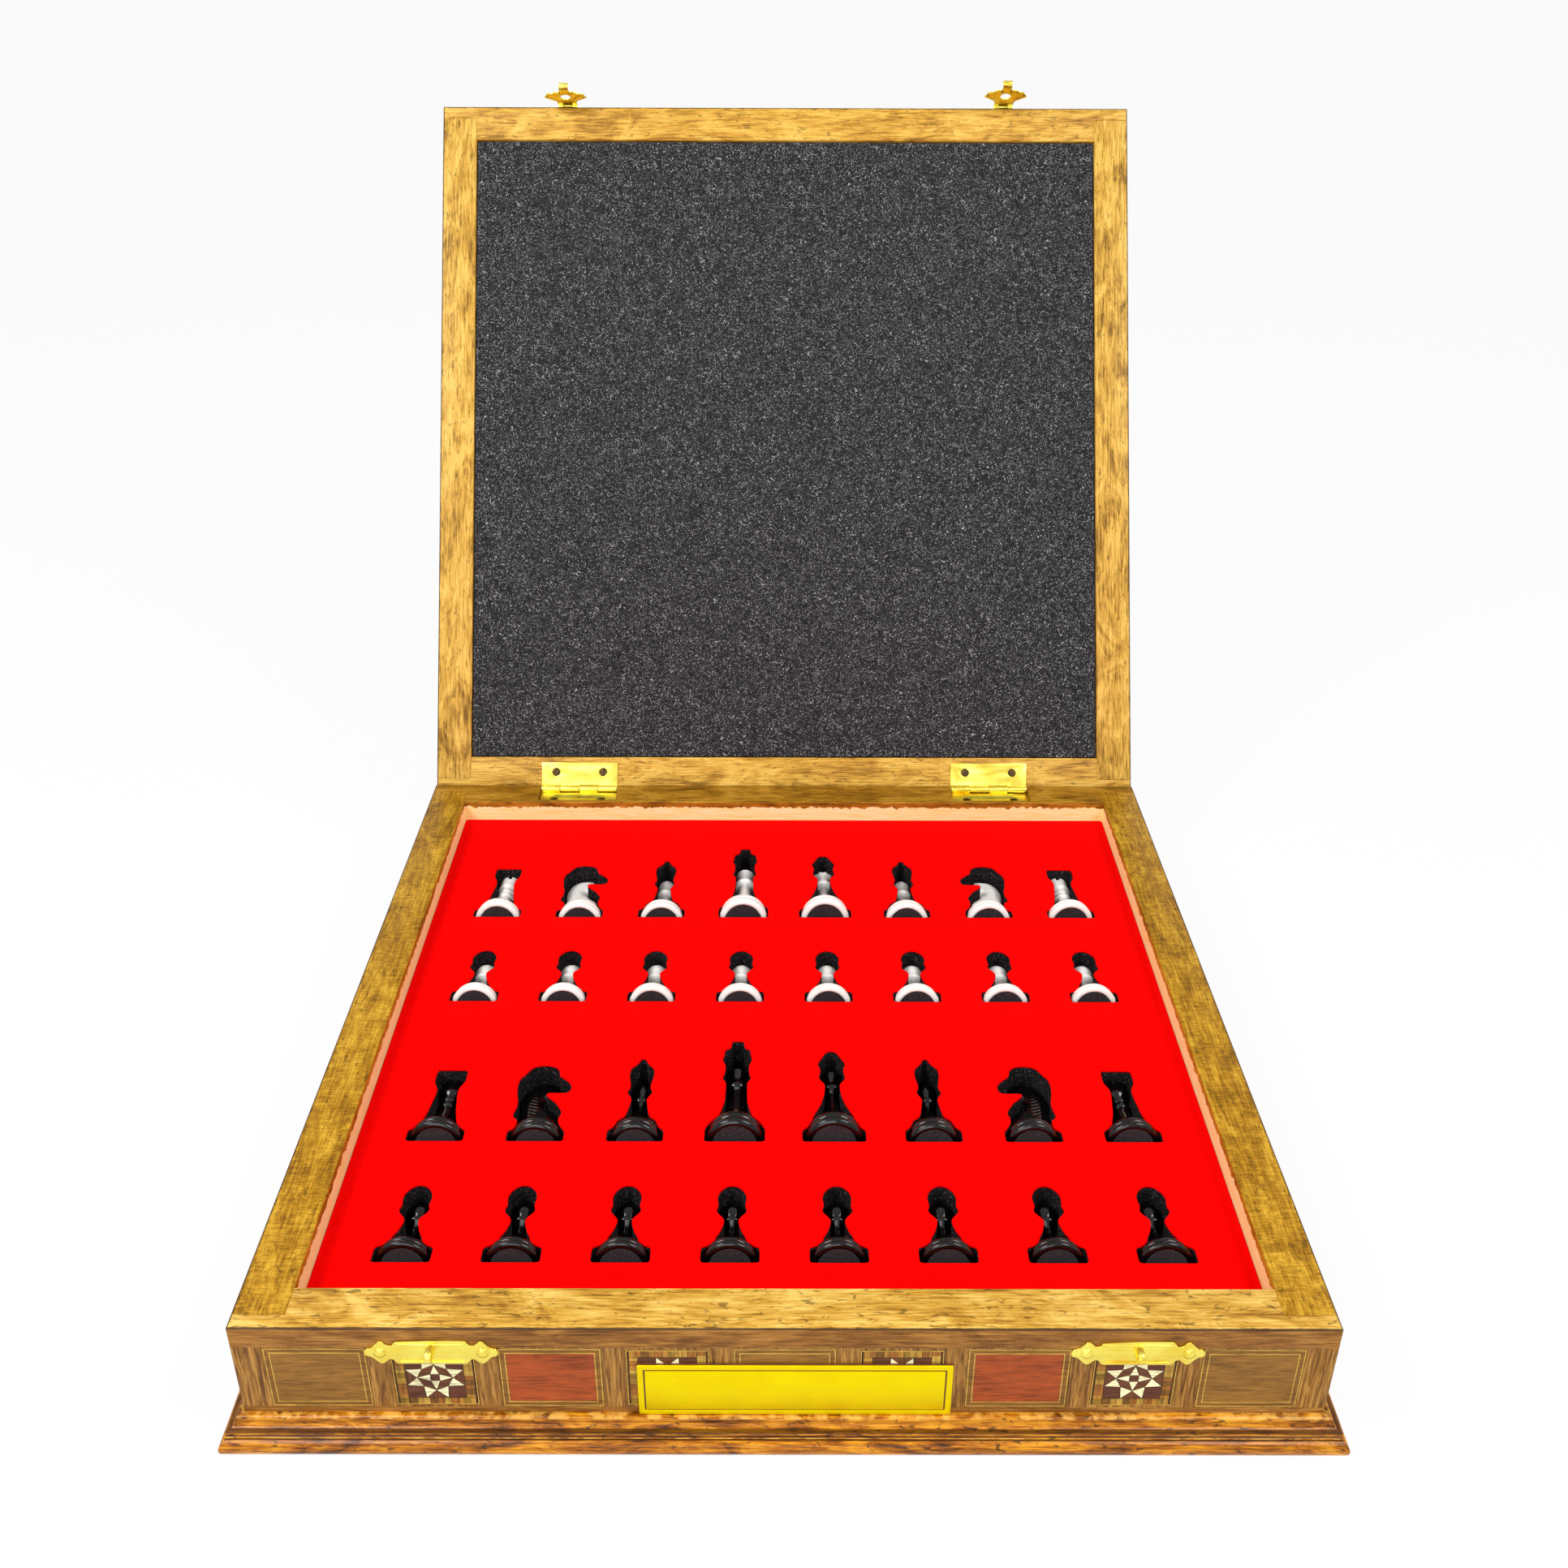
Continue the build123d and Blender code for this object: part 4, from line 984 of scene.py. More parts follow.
angle = lathe.maths("MULTIPLY", lathe.maths("DIVIDE", column_number, lathe.inputs["Sides"]), 2 * math.pi)
turned_point = lathe.vector(lathe.maths("MULTIPLY", radius, lathe.maths("COSINE", angle)),
                            lathe.maths("MULTIPLY", radius, lathe.maths("SINE", angle)), height)
shaped = lathe.node("GeometryNodeSetPosition", {"Geometry": sheet, "Position": turned_point}).outputs[0]
closed = lathe.node("GeometryNodeMergeByDistance", {"Geometry": shaped, "Distance": weld}).outputs[0]
lathe.finish(closed)


def turn(name, outline, sides, material, smooth_angle=35):
    """Turn an outline of (height, radius) in mm and return a closed mesh."""
    mesh = bpy.data.meshes.new(name)
    mesh.from_pydata([(radius * MM, 0, height * MM) for height, radius in outline],
                     [(i, i + 1) for i in range(len(outline) - 1)], [])
    turned = grow(name, lathe, {"Outline": pattern(f"{name}_outline", mesh), "Sides": sides, "Finish": material})
    bm = bmesh.new()
    bm.from_mesh(turned)
    bmesh.ops.dissolve_degenerate(bm, edges=bm.edges, dist=1e-7)
    made = mesh_of(bm, name, smooth_angle)
    made.materials.append(material)
    return made


def curved(points):
    """(height, radius) points with a smooth curve through them. A third value marks a crisp corner."""
    steps = 4
    runs, run = [], []
    for point in points:
        run.append(point[:2])
        if len(point) > 2:
            runs.append(run)
            run = [point[:2]]
    runs.append(run)
    made = []
    for run in runs:
        if len(run) < 3:
            made += run
            continue
        ends = [run[0], *run, run[-1]]
        for a, b, c, d in zip(ends, ends[1:], ends[2:], ends[3:]):
            for step in range(steps):
                t = step / steps
                made.append(tuple(
                    0.5 * (2 * b[i] + (c[i] - a[i]) * t + (2 * a[i] - 5 * b[i] + 4 * c[i] - d[i]) * t * t
                           + (3 * b[i] - a[i] - 3 * c[i] + d[i]) * t ** 3) for i in (0, 1)))
        made.append(run[-1])
    cleaned = [made[0]]
    for point in made[1:]:
        if math.dist(point, cleaned[-1]) > 0.01:
            cleaned.append(point)
    return [(height, max(radius, 0.0)) for height, radius in cleaned]


# %% [markdown]
# ## Plastic and felt
# The men are moulded: a warm white and a glossy black. Both have the faint
# ripple of a moulding. Each base has a disc of dark felt.

# %% Plastic and felt finishes
def moulded(name, low, high, **sockets):
    made = Finish(name, **sockets)
    ripple = made.noise(made.place, scale=120, detail=2)
    made.paint("Base Color", made.tones(ripple, (0.3, low), (0.7, high)))
    made.relief(made.noise(made.place, scale=420, detail=1), 0.05, 0.2)
    return made.material


white_plastic = moulded("white_plastic", (244, 242, 234), (253, 252, 248), Roughness=0.3, Coat_Weight=0.2,
                        Coat_Roughness=0.1)
black_plastic = moulded("black_plastic", (3, 3, 4), (7, 6, 7), Roughness=0.1, Specular_IOR_Level=0.4,
                        Coat_Weight=0.0)
felt = Finish("base_felt", Roughness=1.0, Specular_IOR_Level=0.05, Sheen_Weight=0.25, Sheen_Roughness=0.5)
fuzz = felt.noise(felt.place, scale=1700, detail=3, distortion=1.0)
felt.paint("Base Color", felt.tones(fuzz, (0.32, (20, 15, 17)), (0.66, (60, 50, 54))))
felt.relief(fuzz, 0.5, 0.3)

# %% [markdown]
# ## The men's outlines
# A turned man is known by its outline: two rings and a cove at the foot, a long hollow shaft, a collar, and then
# the head that names it. The foot is the same for all, in millimetres; above it each kind has its own
# shares of length and base radius. C marks a crisp corner.

# %% Outlines
C = "crisp"


def foot(base, length):
    """The felt recess, the two rings and the step that every man stands on."""
    tall = 0.6 + 0.145 * length
    rings = [(0.07, 0.965), (0.2, 1.0), (0.34, 0.985), (0.45, 0.9, C), (0.48, 0.88, C), (0.56, 0.945),
             (0.69, 0.965), (0.83, 0.94), (0.94, 0.85, C), (0.97, 0.8, C), (1.02, 0.76)]
    recess = [(0.4, 0.0), (0.4, 0.79 * base, C), (0.02, 0.8 * base, C), (0.0, 0.86 * base)]
    return recess + [(ring[0] * tall, ring[1] * base, *ring[2:]) for ring in rings]


def ball(centre, radius, start):
    """An arc of (height, radius) round a centre, from a start angle to the top."""
    sides = 9
    angles = [start + (math.pi / 2 - start) * step / sides for step in range(sides + 1)]
    return [(centre + radius * math.sin(a), radius * math.cos(a)) for a in angles]


bodies = {
    "pawn": [(0.2, 0.58), (0.27, 0.46), (0.36, 0.36), (0.47, 0.28), (0.59, 0.215), (0.615, 0.235, C),
             (0.63, 0.33), (0.648, 0.44), (0.665, 0.475, C), (0.69, 0.475, C), (0.705, 0.42), (0.72, 0.36, C)],
    "rook": [(0.2, 0.58), (0.27, 0.47), (0.36, 0.385), (0.48, 0.33), (0.565, 0.3, C), (0.575, 0.37), (0.6, 0.4),
             (0.625, 0.38), (0.635, 0.32, C), (0.65, 0.32, C), (0.66, 0.39), (0.69, 0.42), (0.715, 0.39),
             (0.725, 0.34, C), (0.74, 0.35), (0.765, 0.42), (0.78, 0.475, C), (0.795, 0.49, C),
             (0.815, 0.485, C), (0.825, 0.45, C), (0.9, 0.47), (0.995, 0.49, C), (1.0, 0.475, C),
             (1.0, 0.345, C), (0.935, 0.33, C), (0.93, 0.0)],
    "bishop": [(0.185, 0.58), (0.25, 0.45), (0.35, 0.33), (0.45, 0.255), (0.55, 0.21), (0.575, 0.23, C),
               (0.59, 0.34), (0.605, 0.41), (0.62, 0.435, C), (0.635, 0.43, C), (0.65, 0.37), (0.665, 0.29, C),
               (0.68, 0.28), (0.72, 0.32), (0.77, 0.385), (0.82, 0.42), (0.86, 0.4), (0.9, 0.32), (0.93, 0.22),
               (0.95, 0.13), (0.957, 0.09, C), (0.963, 0.11), (0.975, 0.125), (0.988, 0.11), (0.997, 0.06),
               (1.0, 0.0)],
    "queen": [(0.185, 0.58), (0.25, 0.45), (0.35, 0.32), (0.45, 0.245), (0.55, 0.205), (0.64, 0.19),
              (0.655, 0.2, C), (0.668, 0.3), (0.683, 0.4), (0.695, 0.43, C), (0.708, 0.425, C), (0.722, 0.35),
              (0.735, 0.28, C), (0.75, 0.27), (0.78, 0.265), (0.81, 0.28), (0.85, 0.33), (0.885, 0.4),
              (0.893, 0.42, C), (0.9, 0.4, C), (0.895, 0.28, C), (0.915, 0.265), (0.935, 0.215), (0.95, 0.13),
              (0.957, 0.085, C), (0.965, 0.105), (0.977, 0.115), (0.99, 0.085), (0.998, 0.04), (1.0, 0.0)],
    "king": [(0.18, 0.6), (0.24, 0.47), (0.3, 0.395), (0.37, 0.345), (0.46, 0.31), (0.55, 0.285), (0.6, 0.28),
             (0.612, 0.29, C), (0.622, 0.38), (0.634, 0.44), (0.645, 0.46, C), (0.658, 0.455, C), (0.67, 0.39),
             (0.685, 0.32, C), (0.7, 0.305), (0.74, 0.3), (0.78, 0.335), (0.82, 0.385), (0.84, 0.41, C),
             (0.855, 0.41, C), (0.862, 0.36, C), (0.875, 0.345), (0.892, 0.27), (0.905, 0.17), (0.912, 0.13, C),
             (0.915, 0.0)],
    "knight": [(0.175, 0.77), (0.19, 0.75), (0.2, 0.7, C), (0.205, 0.0)],
}


def man_outline(kind):
    """A kind's whole outline in mm, foot to top."""
    length, base = men_sizes[kind]
    body = [(point[0] * length, point[1] * base, *point[2:]) for point in bodies[kind]]
    if kind == "pawn":
        head = ball(0.853 * length, 0.147 * length, math.radians(-47))
        return curved(foot(base, length) + body) + head[:-1] + [(head[-1][0], 0.0)]
    return curved(foot(base, length) + body)


turned_men = {kind: turn(f"{kind}_turned", man_outline(kind), 40, white_plastic) for kind in men_sizes}
print({kind: len(mesh.polygons) for kind, mesh in turned_men.items()})

# %% [markdown]
# ## Cutting and adding
# A rook's battlements and a bishop's slit are saw cuts, so they are cut with a boolean and an exact solver. A
# queen's coronet is a ring of small points, grown on a circle; a king's cross is a little plate.

# %% Cuts, cross and coronet
def cut_with(mesh, cutters):
    """A mesh less each cutter mesh in turn."""
    target = pattern("to_cut", mesh)
    tools = []
    for number, cutter in enumerate(cutters):
        tools.append(pattern(f"cutter_{number}", cutter))
        modifier = target.modifiers.new("cut", "BOOLEAN")
        modifier.object, modifier.operation, modifier.solver = tools[-1], "DIFFERENCE", "EXACT"
    return modified(target, *tools)


def bar(size, place, turn_y=0.0, turn_z=0.0, ease=0.0):
    """A bar of this size in mm, its middle at place, turned by degrees about Y and then Z."""
    bm = bmesh.new()
    bmesh.ops.create_cube(bm, size=1.0)
    bmesh.ops.scale(bm, vec=Vector(size) * MM, verts=bm.verts)
    if ease:
        bmesh.ops.bevel(bm, geom=bm.edges[:], offset=ease * MM, segments=2, profile=0.5, affect="EDGES")
    turned = Matrix.Rotation(math.radians(turn_z), 4, "Z") @ Matrix.Rotation(math.radians(turn_y), 4, "Y")
    bmesh.ops.transform(bm, matrix=Matrix.Translation(Vector(place) * MM) @ turned, verts=bm.verts)
    return mesh_of(bm, "bar")


rook_top = men_sizes["rook"][0]
notches = [bar((14, 1.8, 2.6), (0, 0, rook_top - 1.2), turn_z=angle) for angle in (0, 90)]
turned_men["rook"] = cut_with(turned_men["rook"], notches)

bishop_length, bishop_base = men_sizes["bishop"]
slit = bar((6.5, 12, 0.9), (0.32 * bishop_base, 0, 0.87 * bishop_length), turn_y=-45)
turned_men["bishop"] = cut_with(turned_men["bishop"], [slit])

cross_foot = 0.91 * men_sizes["king"][0]
cross_outline = [(-0.8, -0.4), (0.8, -0.4), (0.5, 2.1), (2.0, 1.9), (2.0, 4.0), (0.5, 3.7), (0.9, 5.0),
                 (-0.9, 5.0), (-0.5, 3.7), (-2.0, 4.0), (-2.0, 1.9), (-0.5, 2.1)]
cross = rounded_plate("king_cross", [cross_outline], -0.85, 0.85, 0.25)
cross.transform(Matrix.Translation((0, 0, cross_foot * MM)) @ Matrix.Rotation(math.pi / 2, 4, "X"))
turned_men["king"] = joined("king_turned", turned_men["king"], cross)

ring = Grower("ring_of_points", {"Point": "Object", "Count": "Int", "Radius": "Float", "Height": "Float"})
loop = ring.node("GeometryNodeMeshCircle", {"Vertices": ring.inputs["Count"], "Radius": ring.inputs["Radius"]})
raised = ring.node("GeometryNodeTransform", {"Geometry": ring.copies(loop.outputs[0], ring.shape("Point")),
                                             "Translation": ring.vector(z=ring.inputs["Height"])})
ring.finish(raised.outputs[0])

queen_length, queen_base = men_sizes["queen"]
point_mesh = turn("crown_point", [(-0.8, 0), (-0.7, 0.6), (0.3, 0.75), (0.9, 0.6), (1.35, 0.25), (1.45, 0)], 10,
                  white_plastic)
coronet = grow("coronet", ring, {"Point": pattern("crown_point", point_mesh), "Count": 10,
                                 "Radius": 0.375 * queen_base * MM, "Height": 0.895 * queen_length * MM,
                                 "Finish": white_plastic})
coronet.shade_smooth()
turned_men["queen"] = joined("queen_turned", turned_men["queen"], coronet)
print("rook, bishop, king and queen finished")

# %% [markdown]
# ## The knight
# Only the knight isn't turned. Its head starts as the profile of a horse's head and neck, cut from a thick
# plate. A voxel remesh gives it an even skin, and then every point is moved by simple rules: thinner towards the
# outline, so that the plate becomes a rounded neck and muzzle; grooves along the mane; a dent for the mouth and
# nostril, and a small swelling for the eye.

# %% Knight
knight_length, knight_base = men_sizes["knight"]
fine_profile = [
    (-0.70, 0.15), (-0.74, 0.24), (-0.78, 0.33), (-0.84, 0.45), (-0.90, 0.57), (-0.91, 0.69), (-0.86, 0.79),
    (-0.74, 0.88), (-0.55, 0.945), (-0.34, 0.975), (-0.12, 0.98), (0.0, 0.998), (0.08, 0.975), (0.16, 0.998),
    (0.27, 0.955), (0.36, 0.91), (0.46, 0.85), (0.60, 0.795), (0.76, 0.755), (0.85, 0.725), (0.85, 0.685),
    (0.78, 0.66), (0.70, 0.672), (0.60, 0.655), (0.48, 0.658), (0.32, 0.685), (0.16, 0.69), (0.08, 0.65),
    (0.07, 0.6), (0.16, 0.545), (0.32, 0.48), (0.52, 0.42), (0.66, 0.35), (0.68, 0.25), (0.62, 0.15),
]
head_loop = softened([(x * knight_base, z * knight_length) for x, z in fine_profile], 0.8, rounds=1)
head_mesh = rounded_plate("knight_head", [head_loop], -knight_half, knight_half, 0.9)
head_mesh.transform(Matrix.Rotation(math.pi / 2, 4, "X"))
head = pattern("knight_head", head_mesh)
skin = head.modifiers.new("even_skin", "REMESH")
skin.mode, skin.voxel_size = "VOXEL", 0.42 * MM
head_mesh = modified(head)


def gap_to_outline(x, z):
    """How far, in mm, a point of the profile lies inside the outline."""
    here = Vector((x, z))
    gaps = []
    for a, b in zip(head_loop, head_loop[1:] + head_loop[:1]):
        along = b - a
        share = min(max((here - a).dot(along) / max(along.length_squared, 1e-9), 0), 1)
        gaps.append((here - a - along * share).length)
    return min(gaps)


def climb(value, start, width):
    """0 up to a start, 1 from width beyond it, and a straight slope in between."""
    return min(max((value - start) / width, 0), 1)


# Brow, eye, nostril and cheek: place as shares of base and length, then reach and height in mm.
face_marks = ((0.26, 0.875, 0.75, 0.55), (0.26, 0.835, 0.7, -0.35), (0.73, 0.725, 0.6, -0.55),
              (0.2, 0.76, 1.8, 0.5))
mane_depth, mouth_depth, mouth_width, mouth_end = 0.3, 0.5, 0.35, 3.5
for vert in head_mesh.vertices:
    x, y, z = (c / MM for c in vert.co)
    inward = gap_to_outline(x, z)
    full = 0.42 + 0.58 * math.sqrt(min(inward / 3.2, 1.0))
    low_neck = climb(-z, -0.42 * knight_length, 8)
    full = full * (1 - low_neck) + max(full, 0.85) * low_neck
    muzzle = climb(x / knight_base, 0.2, 0.6) * (z > 0.6 * knight_length)
    full *= (1 - 0.28 * muzzle) * (1 - 0.36 * climb(z / knight_length, 0.3, 0.45))
    crest = climb(-x, 0.15 * knight_base, 2) * climb(z / knight_length, 0.3, 0.1)
    depth = -mane_depth * crest * (0.5 + 0.5 * math.sin(2.6 * z + 1.1 * x)) * min(inward, 1)
    for share_x, share_z, reach, height in face_marks:
        off_x, off_z = x - share_x * knight_base, z - share_z * knight_length
        depth += height * math.exp(-(off_x ** 2 + off_z ** 2) / (reach * reach))
    mouth = z - (0.675 * knight_length + 0.12 * (x - 5))
    depth -= mouth_depth * math.exp(-(mouth / mouth_width) ** 2) * (x > mouth_end)
    sign = 1 if y > 0 else -1
    vert.co.y = MM * max(min(y * full + sign * depth * min(abs(y) / 2, 1), knight_half), -knight_half)
smooth_bm = bmesh.new()
smooth_bm.from_mesh(head_mesh)
for _ in range(2):
    bmesh.ops.smooth_vert(smooth_bm, verts=smooth_bm.verts, factor=0.4, use_axis_x=True, use_axis_y=True,
                          use_axis_z=True)
head_mesh = mesh_of(smooth_bm, "knight_head", smooth_angle=70)
turned_men["knight"] = joined("knight_turned", turned_men["knight"], head_mesh)
print("knight:", len(turned_men["knight"].polygons), "faces")

# %% [markdown]
# ## Felt, and laying the men down
# Each base has its disc of felt, turned like the rest and a hair proud of the rim. Then every man gets its own
# copy of its kind's mesh, in its army's plastic, laid into its pocket. Each rides on its own body, so that it can
# be lifted out.

# %% Men in their pockets
for name, kind, x, front, mirrored in men:
    base = men_sizes[kind][1]
    plastic = white_plastic if name.startswith("white") else black_plastic
    felt_disc = turn("felt_disc", [(0.5, 0), (0.5, 0.74 * base), (0.3, 0.765 * base), (0.12, 0.765 * base),
                                   (0.06, 0.75 * base), (0.06, 0)], 40, felt.material, smooth_angle=50)
    mesh = joined(f"{name}_turned", turned_men[kind], felt_disc, slots=(0, 1))
    mesh.transform(lying_place(kind, x, front, mirrored))
    settle(f"{name}_turned", mesh, [plastic, felt.material], name)
print("the men are in their pockets")

# %% [markdown]
# ## Brass
# The fittings are thin polished brass. Polish alone would be a plain mirror, so the finish has a soft brushed
# grain, a slow drift in tone, and slightly duller, browner places where hands and polish have not reached.

# %% Brass finishes
def brass_finish(name, bright, deep, roughness, brushed):
    made = Finish(name, Metallic=1.0)
    drift = made.noise(made.place, scale=90, detail=3)
    brush = made.noise(made.scaled(made.place, 60, 1400, 1400), detail=2)
    made.paint("Base Color", made.tones(made.mix(0.3, drift, brush), (0.3, deep), (0.6, bright)))
    made.paint("Roughness", made.ramp(drift, (0.3, roughness), (0.7, roughness + 0.12)))
    made.relief(brush, brushed, 0.08)
    return made.material


brass = brass_finish("polished_brass", (252, 240, 112), (240, 204, 60), 0.24, 0.06)
plate_brass = brass_finish("nameplate_brass", (250, 226, 3), (246, 216, 0), 0.4, 0.05)
dark_fill = Finish("engraved_fill", Roughness=0.6)
fill_noise = dark_fill.noise(dark_fill.place, scale=800, detail=2)
dark_fill.paint("Base Color", dark_fill.tones(fill_noise, (0.3, (84, 48, 10)), (0.7, (116, 70, 18))))
# The screw heads are a dark steel, painted darker still: painted shade of the holes they sit in.
steel_and_painted_shade = Finish("screw_steel", Metallic=1.0)
steel_noise = steel_and_painted_shade.noise(steel_and_painted_shade.place, scale=900, detail=2)
steel_and_painted_shade.paint("Base Color", steel_and_painted_shade.tones(steel_noise, (0.3, (44, 32, 18)), (0.7, (110, 88, 54))))
steel_and_painted_shade.paint("Roughness", steel_and_painted_shade.ramp(steel_noise, (0.3, 0.3), (0.7, 0.5)))
dress("hinge_pins", brass)

# %% [markdown]
# ## Hinges
# Each butt hinge is two leaves with two knuckles each, on a pin. A leaf is a plate whose edge runs out into its
# own knuckles and stands back from the other leaf's; its screw holes are cut through it. A knuckle is a barrel
# with a hole, turned and laid along the hinge line.

# %% Hinge leaves
hinge_places = (-103.0, 103.0)
hinge_length, leaf_back, leaf_front = 38.0, 160.9, 172.1
leaf_thickness, case_leaf_low, lid_leaf_low = 0.8, 46.1, 49.0
knuckle_pitch, knuckle_length, tab_reach = 9.5, 9.26, 0.9
screw_offset, screw_y, screw_hole = 11.8, 165.6, 2.05


def along_x(mesh, x, y, z):
    """Lay a turned mesh along X, its start at a place in mm."""
    mesh.transform(Matrix.Translation(Vector((x, y, z)) * MM) @ Matrix.Rotation(math.pi / 2, 4, "Y"))
    return mesh


def barrel(length, radius, shoulder, bore=0.0):
    """A knuckle's outline, with rounded ends and, where bore isn't 0, with a hole right through."""
    end = [(0, radius - 0.2, C), (0.08, shoulder), (0.25, radius, C)]
    shell = end + [(length - height, *rest) for height, *rest in end[::-1]]
    if bore:
        return curved([(0, bore, C), *shell, (length, bore, C), (0, bore)])
    return curved([(0, 0), *shell, (length, 0)])


def leaf_outline(x, steps):
    """A leaf seen from above: a rectangle with a tab for each of its knuckles."""
    points = [(x - hinge_length / 2, leaf_back), (x + hinge_length / 2, leaf_back)]
    edge = [(x + hinge_length / 2, leaf_front)]
    for step in sorted(steps, reverse=True):
        middle = x + step * knuckle_pitch
        right, left = middle + knuckle_length / 2, middle - knuckle_length / 2
        edge += [(right, leaf_front), (right, pin_y - tab_reach), (left, pin_y - tab_reach), (left, leaf_front)]
    edge.append((x - hinge_length / 2, leaf_front))
    for point in edge:
        if math.dist(point, points[-1]) > 0.15:
            points.append(point)
    return points if math.dist(points[0], points[-1]) > 0.15 else points[:-1]


def hinge_leaf(steps, low):
    """Both hinges' leaves of one kind, lid shut."""
    parts = []
    for x in hinge_places:
        loops = [leaf_outline(x, steps)]
        loops += [circle_points(x + side * screw_offset, screw_y, screw_hole) for side in (-1, 1)]
        parts.append(rounded_plate("leaf", loops, low, low + leaf_thickness, 0.14))
        for step in steps:
            knuckle = turn("knuckle", barrel(knuckle_length, 1.7, 1.66, bore=0.78), 32, brass)
            parts.append(along_x(knuckle, x + step * knuckle_pitch - knuckle_length / 2, pin_y, pin_z))
    return joined("hinge_leaf", *parts)


settle("hinge_leaves_case", hinge_leaf((-1.5, 0.5), case_leaf_low), [brass], "hinge_case_leaves")
lid_leaves = hinge_leaf((-0.5, 1.5), lid_leaf_low)
lid_leaves.transform(lid_open)
settle("hinge_leaves_lid", lid_leaves, [brass], "hinge_lid_leaves")

# %% [markdown]
# ## Screws and nails
# Eight countersunk screws hold the hinges and eight domed nails hold the catch plates. One tree sets a head on
# each of a list of points and gives each a turn of its own, as screws have when they are driven home. The cross
# is cut into one head with two bars.

# %% Fastener tree
fasteners = Grower("set_fasteners", {"Spots": "Object", "Head": "Object", "Seed": "Int"})
spin = fasteners.node("FunctionNodeRandomValue", {2: 0.0, 3: math.pi, "Seed": fasteners.inputs["Seed"]},
                      data_type="FLOAT").outputs[1]
fasteners.finish(fasteners.copies(fasteners.shape("Spots"), fasteners.shape("Head"),
                                  Rotation=fasteners.vector(z=spin)))


def set_heads(name, spots, head, seed, material):
    """Heads on points in mm, facing +Z."""
    points = bpy.data.meshes.new(name)
    points.from_pydata([Vector(spot) * MM for spot in spots], [], [])
    made = grow(name, fasteners, {"Spots": pattern(f"{name}_spots", points), "Head": pattern(f"{name}_head", head),
                                  "Seed": seed, "Finish": material})
    made.shade_smooth()
    made.set_sharp_from_angle(angle=math.radians(40))
    return made


# %% Screws
screw_outline = curved([(-0.6, 0.0), (-0.6, 1.2, C), (-0.1, 1.9, C), (0.02, 1.85), (0.14, 1.3), (0.2, 0.0)])
flipped = Matrix.Rotation(math.pi, 4, "X")
screw_rows = {"case": (1, 46.72, 3, Matrix()), "lid": (-1, -49.18, 5, lid_open @ flipped)}
for body, (hand, height, seed, place) in screw_rows.items():
    spots = [(x + side * screw_offset, hand * screw_y, height) for x in hinge_places for side in (-1, 1)]
    head = turn("screw_head", screw_outline, 24, steel_and_painted_shade.material)
    head = cut_with(head, [bar((2.4, 0.42, 0.9), (0, 0, 0.2), turn_z=angle) for angle in (0, 90)])
    screws = set_heads(f"{body}_screws", spots, head, seed, steel_and_painted_shade.material)
    screws.transform(place)
    settle(f"hinge_screws_{body}", screws, [steel_and_painted_shade.material], body=body)
print("eight screws driven")

# %% [markdown]
# ## Catch plates
# Catch and hasp share one pressed plate: a body with an embossed line along its long edges, a waist, and at each
# end a lobe that comes to a rounded tip, with a domed nail in it. The staple on the lower plate is a loop on
# edge that the tongue's hole drops over.

# %% Plates
plate_half = [(0, 5.05), (10.6, 5.05), (11.5, 4.5), (12.1, 3.3), (12.9, 2.8), (13.7, 3.1), (14.9, 4.5),
              (15.9, 4.95), (16.8, 4.5), (18.5, 2.4), (19.3, 1.75), (20.3, 1.6), (21.0, 1.0), (21.2, 0.0)]
right_half = plate_half + [(x, -z) for x, z in plate_half[-2:0:-1]]
plate_loop = right_half + [(-x, -z) for x, z in right_half[:-1]]
plate_loop = [p for i, p in enumerate(plate_loop) if math.dist(p, plate_loop[i - 1]) > 0.05]
catch_places = (-111.5, 111.5)
front_face, catch_middle, nail_offset = -175.0, 39.6, 16.2
sheet_thickness, line_rise, line_half = 0.8, 3.85, 10.2


def upright_on_front(mesh, z):
    """Stand a mesh drawn flat, front up, against the front face, its middle at height z."""
    mesh.transform(Matrix.Translation((0, front_face * MM, z * MM)) @ Matrix.Rotation(math.pi / 2, 4, "X"))
    return mesh


def pressed_line(x, y, half):
    """A raised, round-topped line along X, half sunk in the plate."""
    end = [(-half, 0), (-half + 0.1, 0.22), (-half + 0.4, 0.3, C)]
    outline = end + [(half - 0.4, 0.3, C), (half - 0.1, 0.22), (half, 0)]
    return along_x(turn("pressed_line", curved(outline), 12, brass), x, y, sheet_thickness + 0.02)


def catch_plate(x):
    """One plate, flat, with its pressed lines."""
    loop = [(x + px, pz) for px, pz in plate_loop]
    sheet = rounded_plate("catch_plate", [softened(loop, 0.5)], 0.0, sheet_thickness, 0.26)
    return [sheet] + [pressed_line(x, y, line_half) for y in (-line_rise, line_rise)]


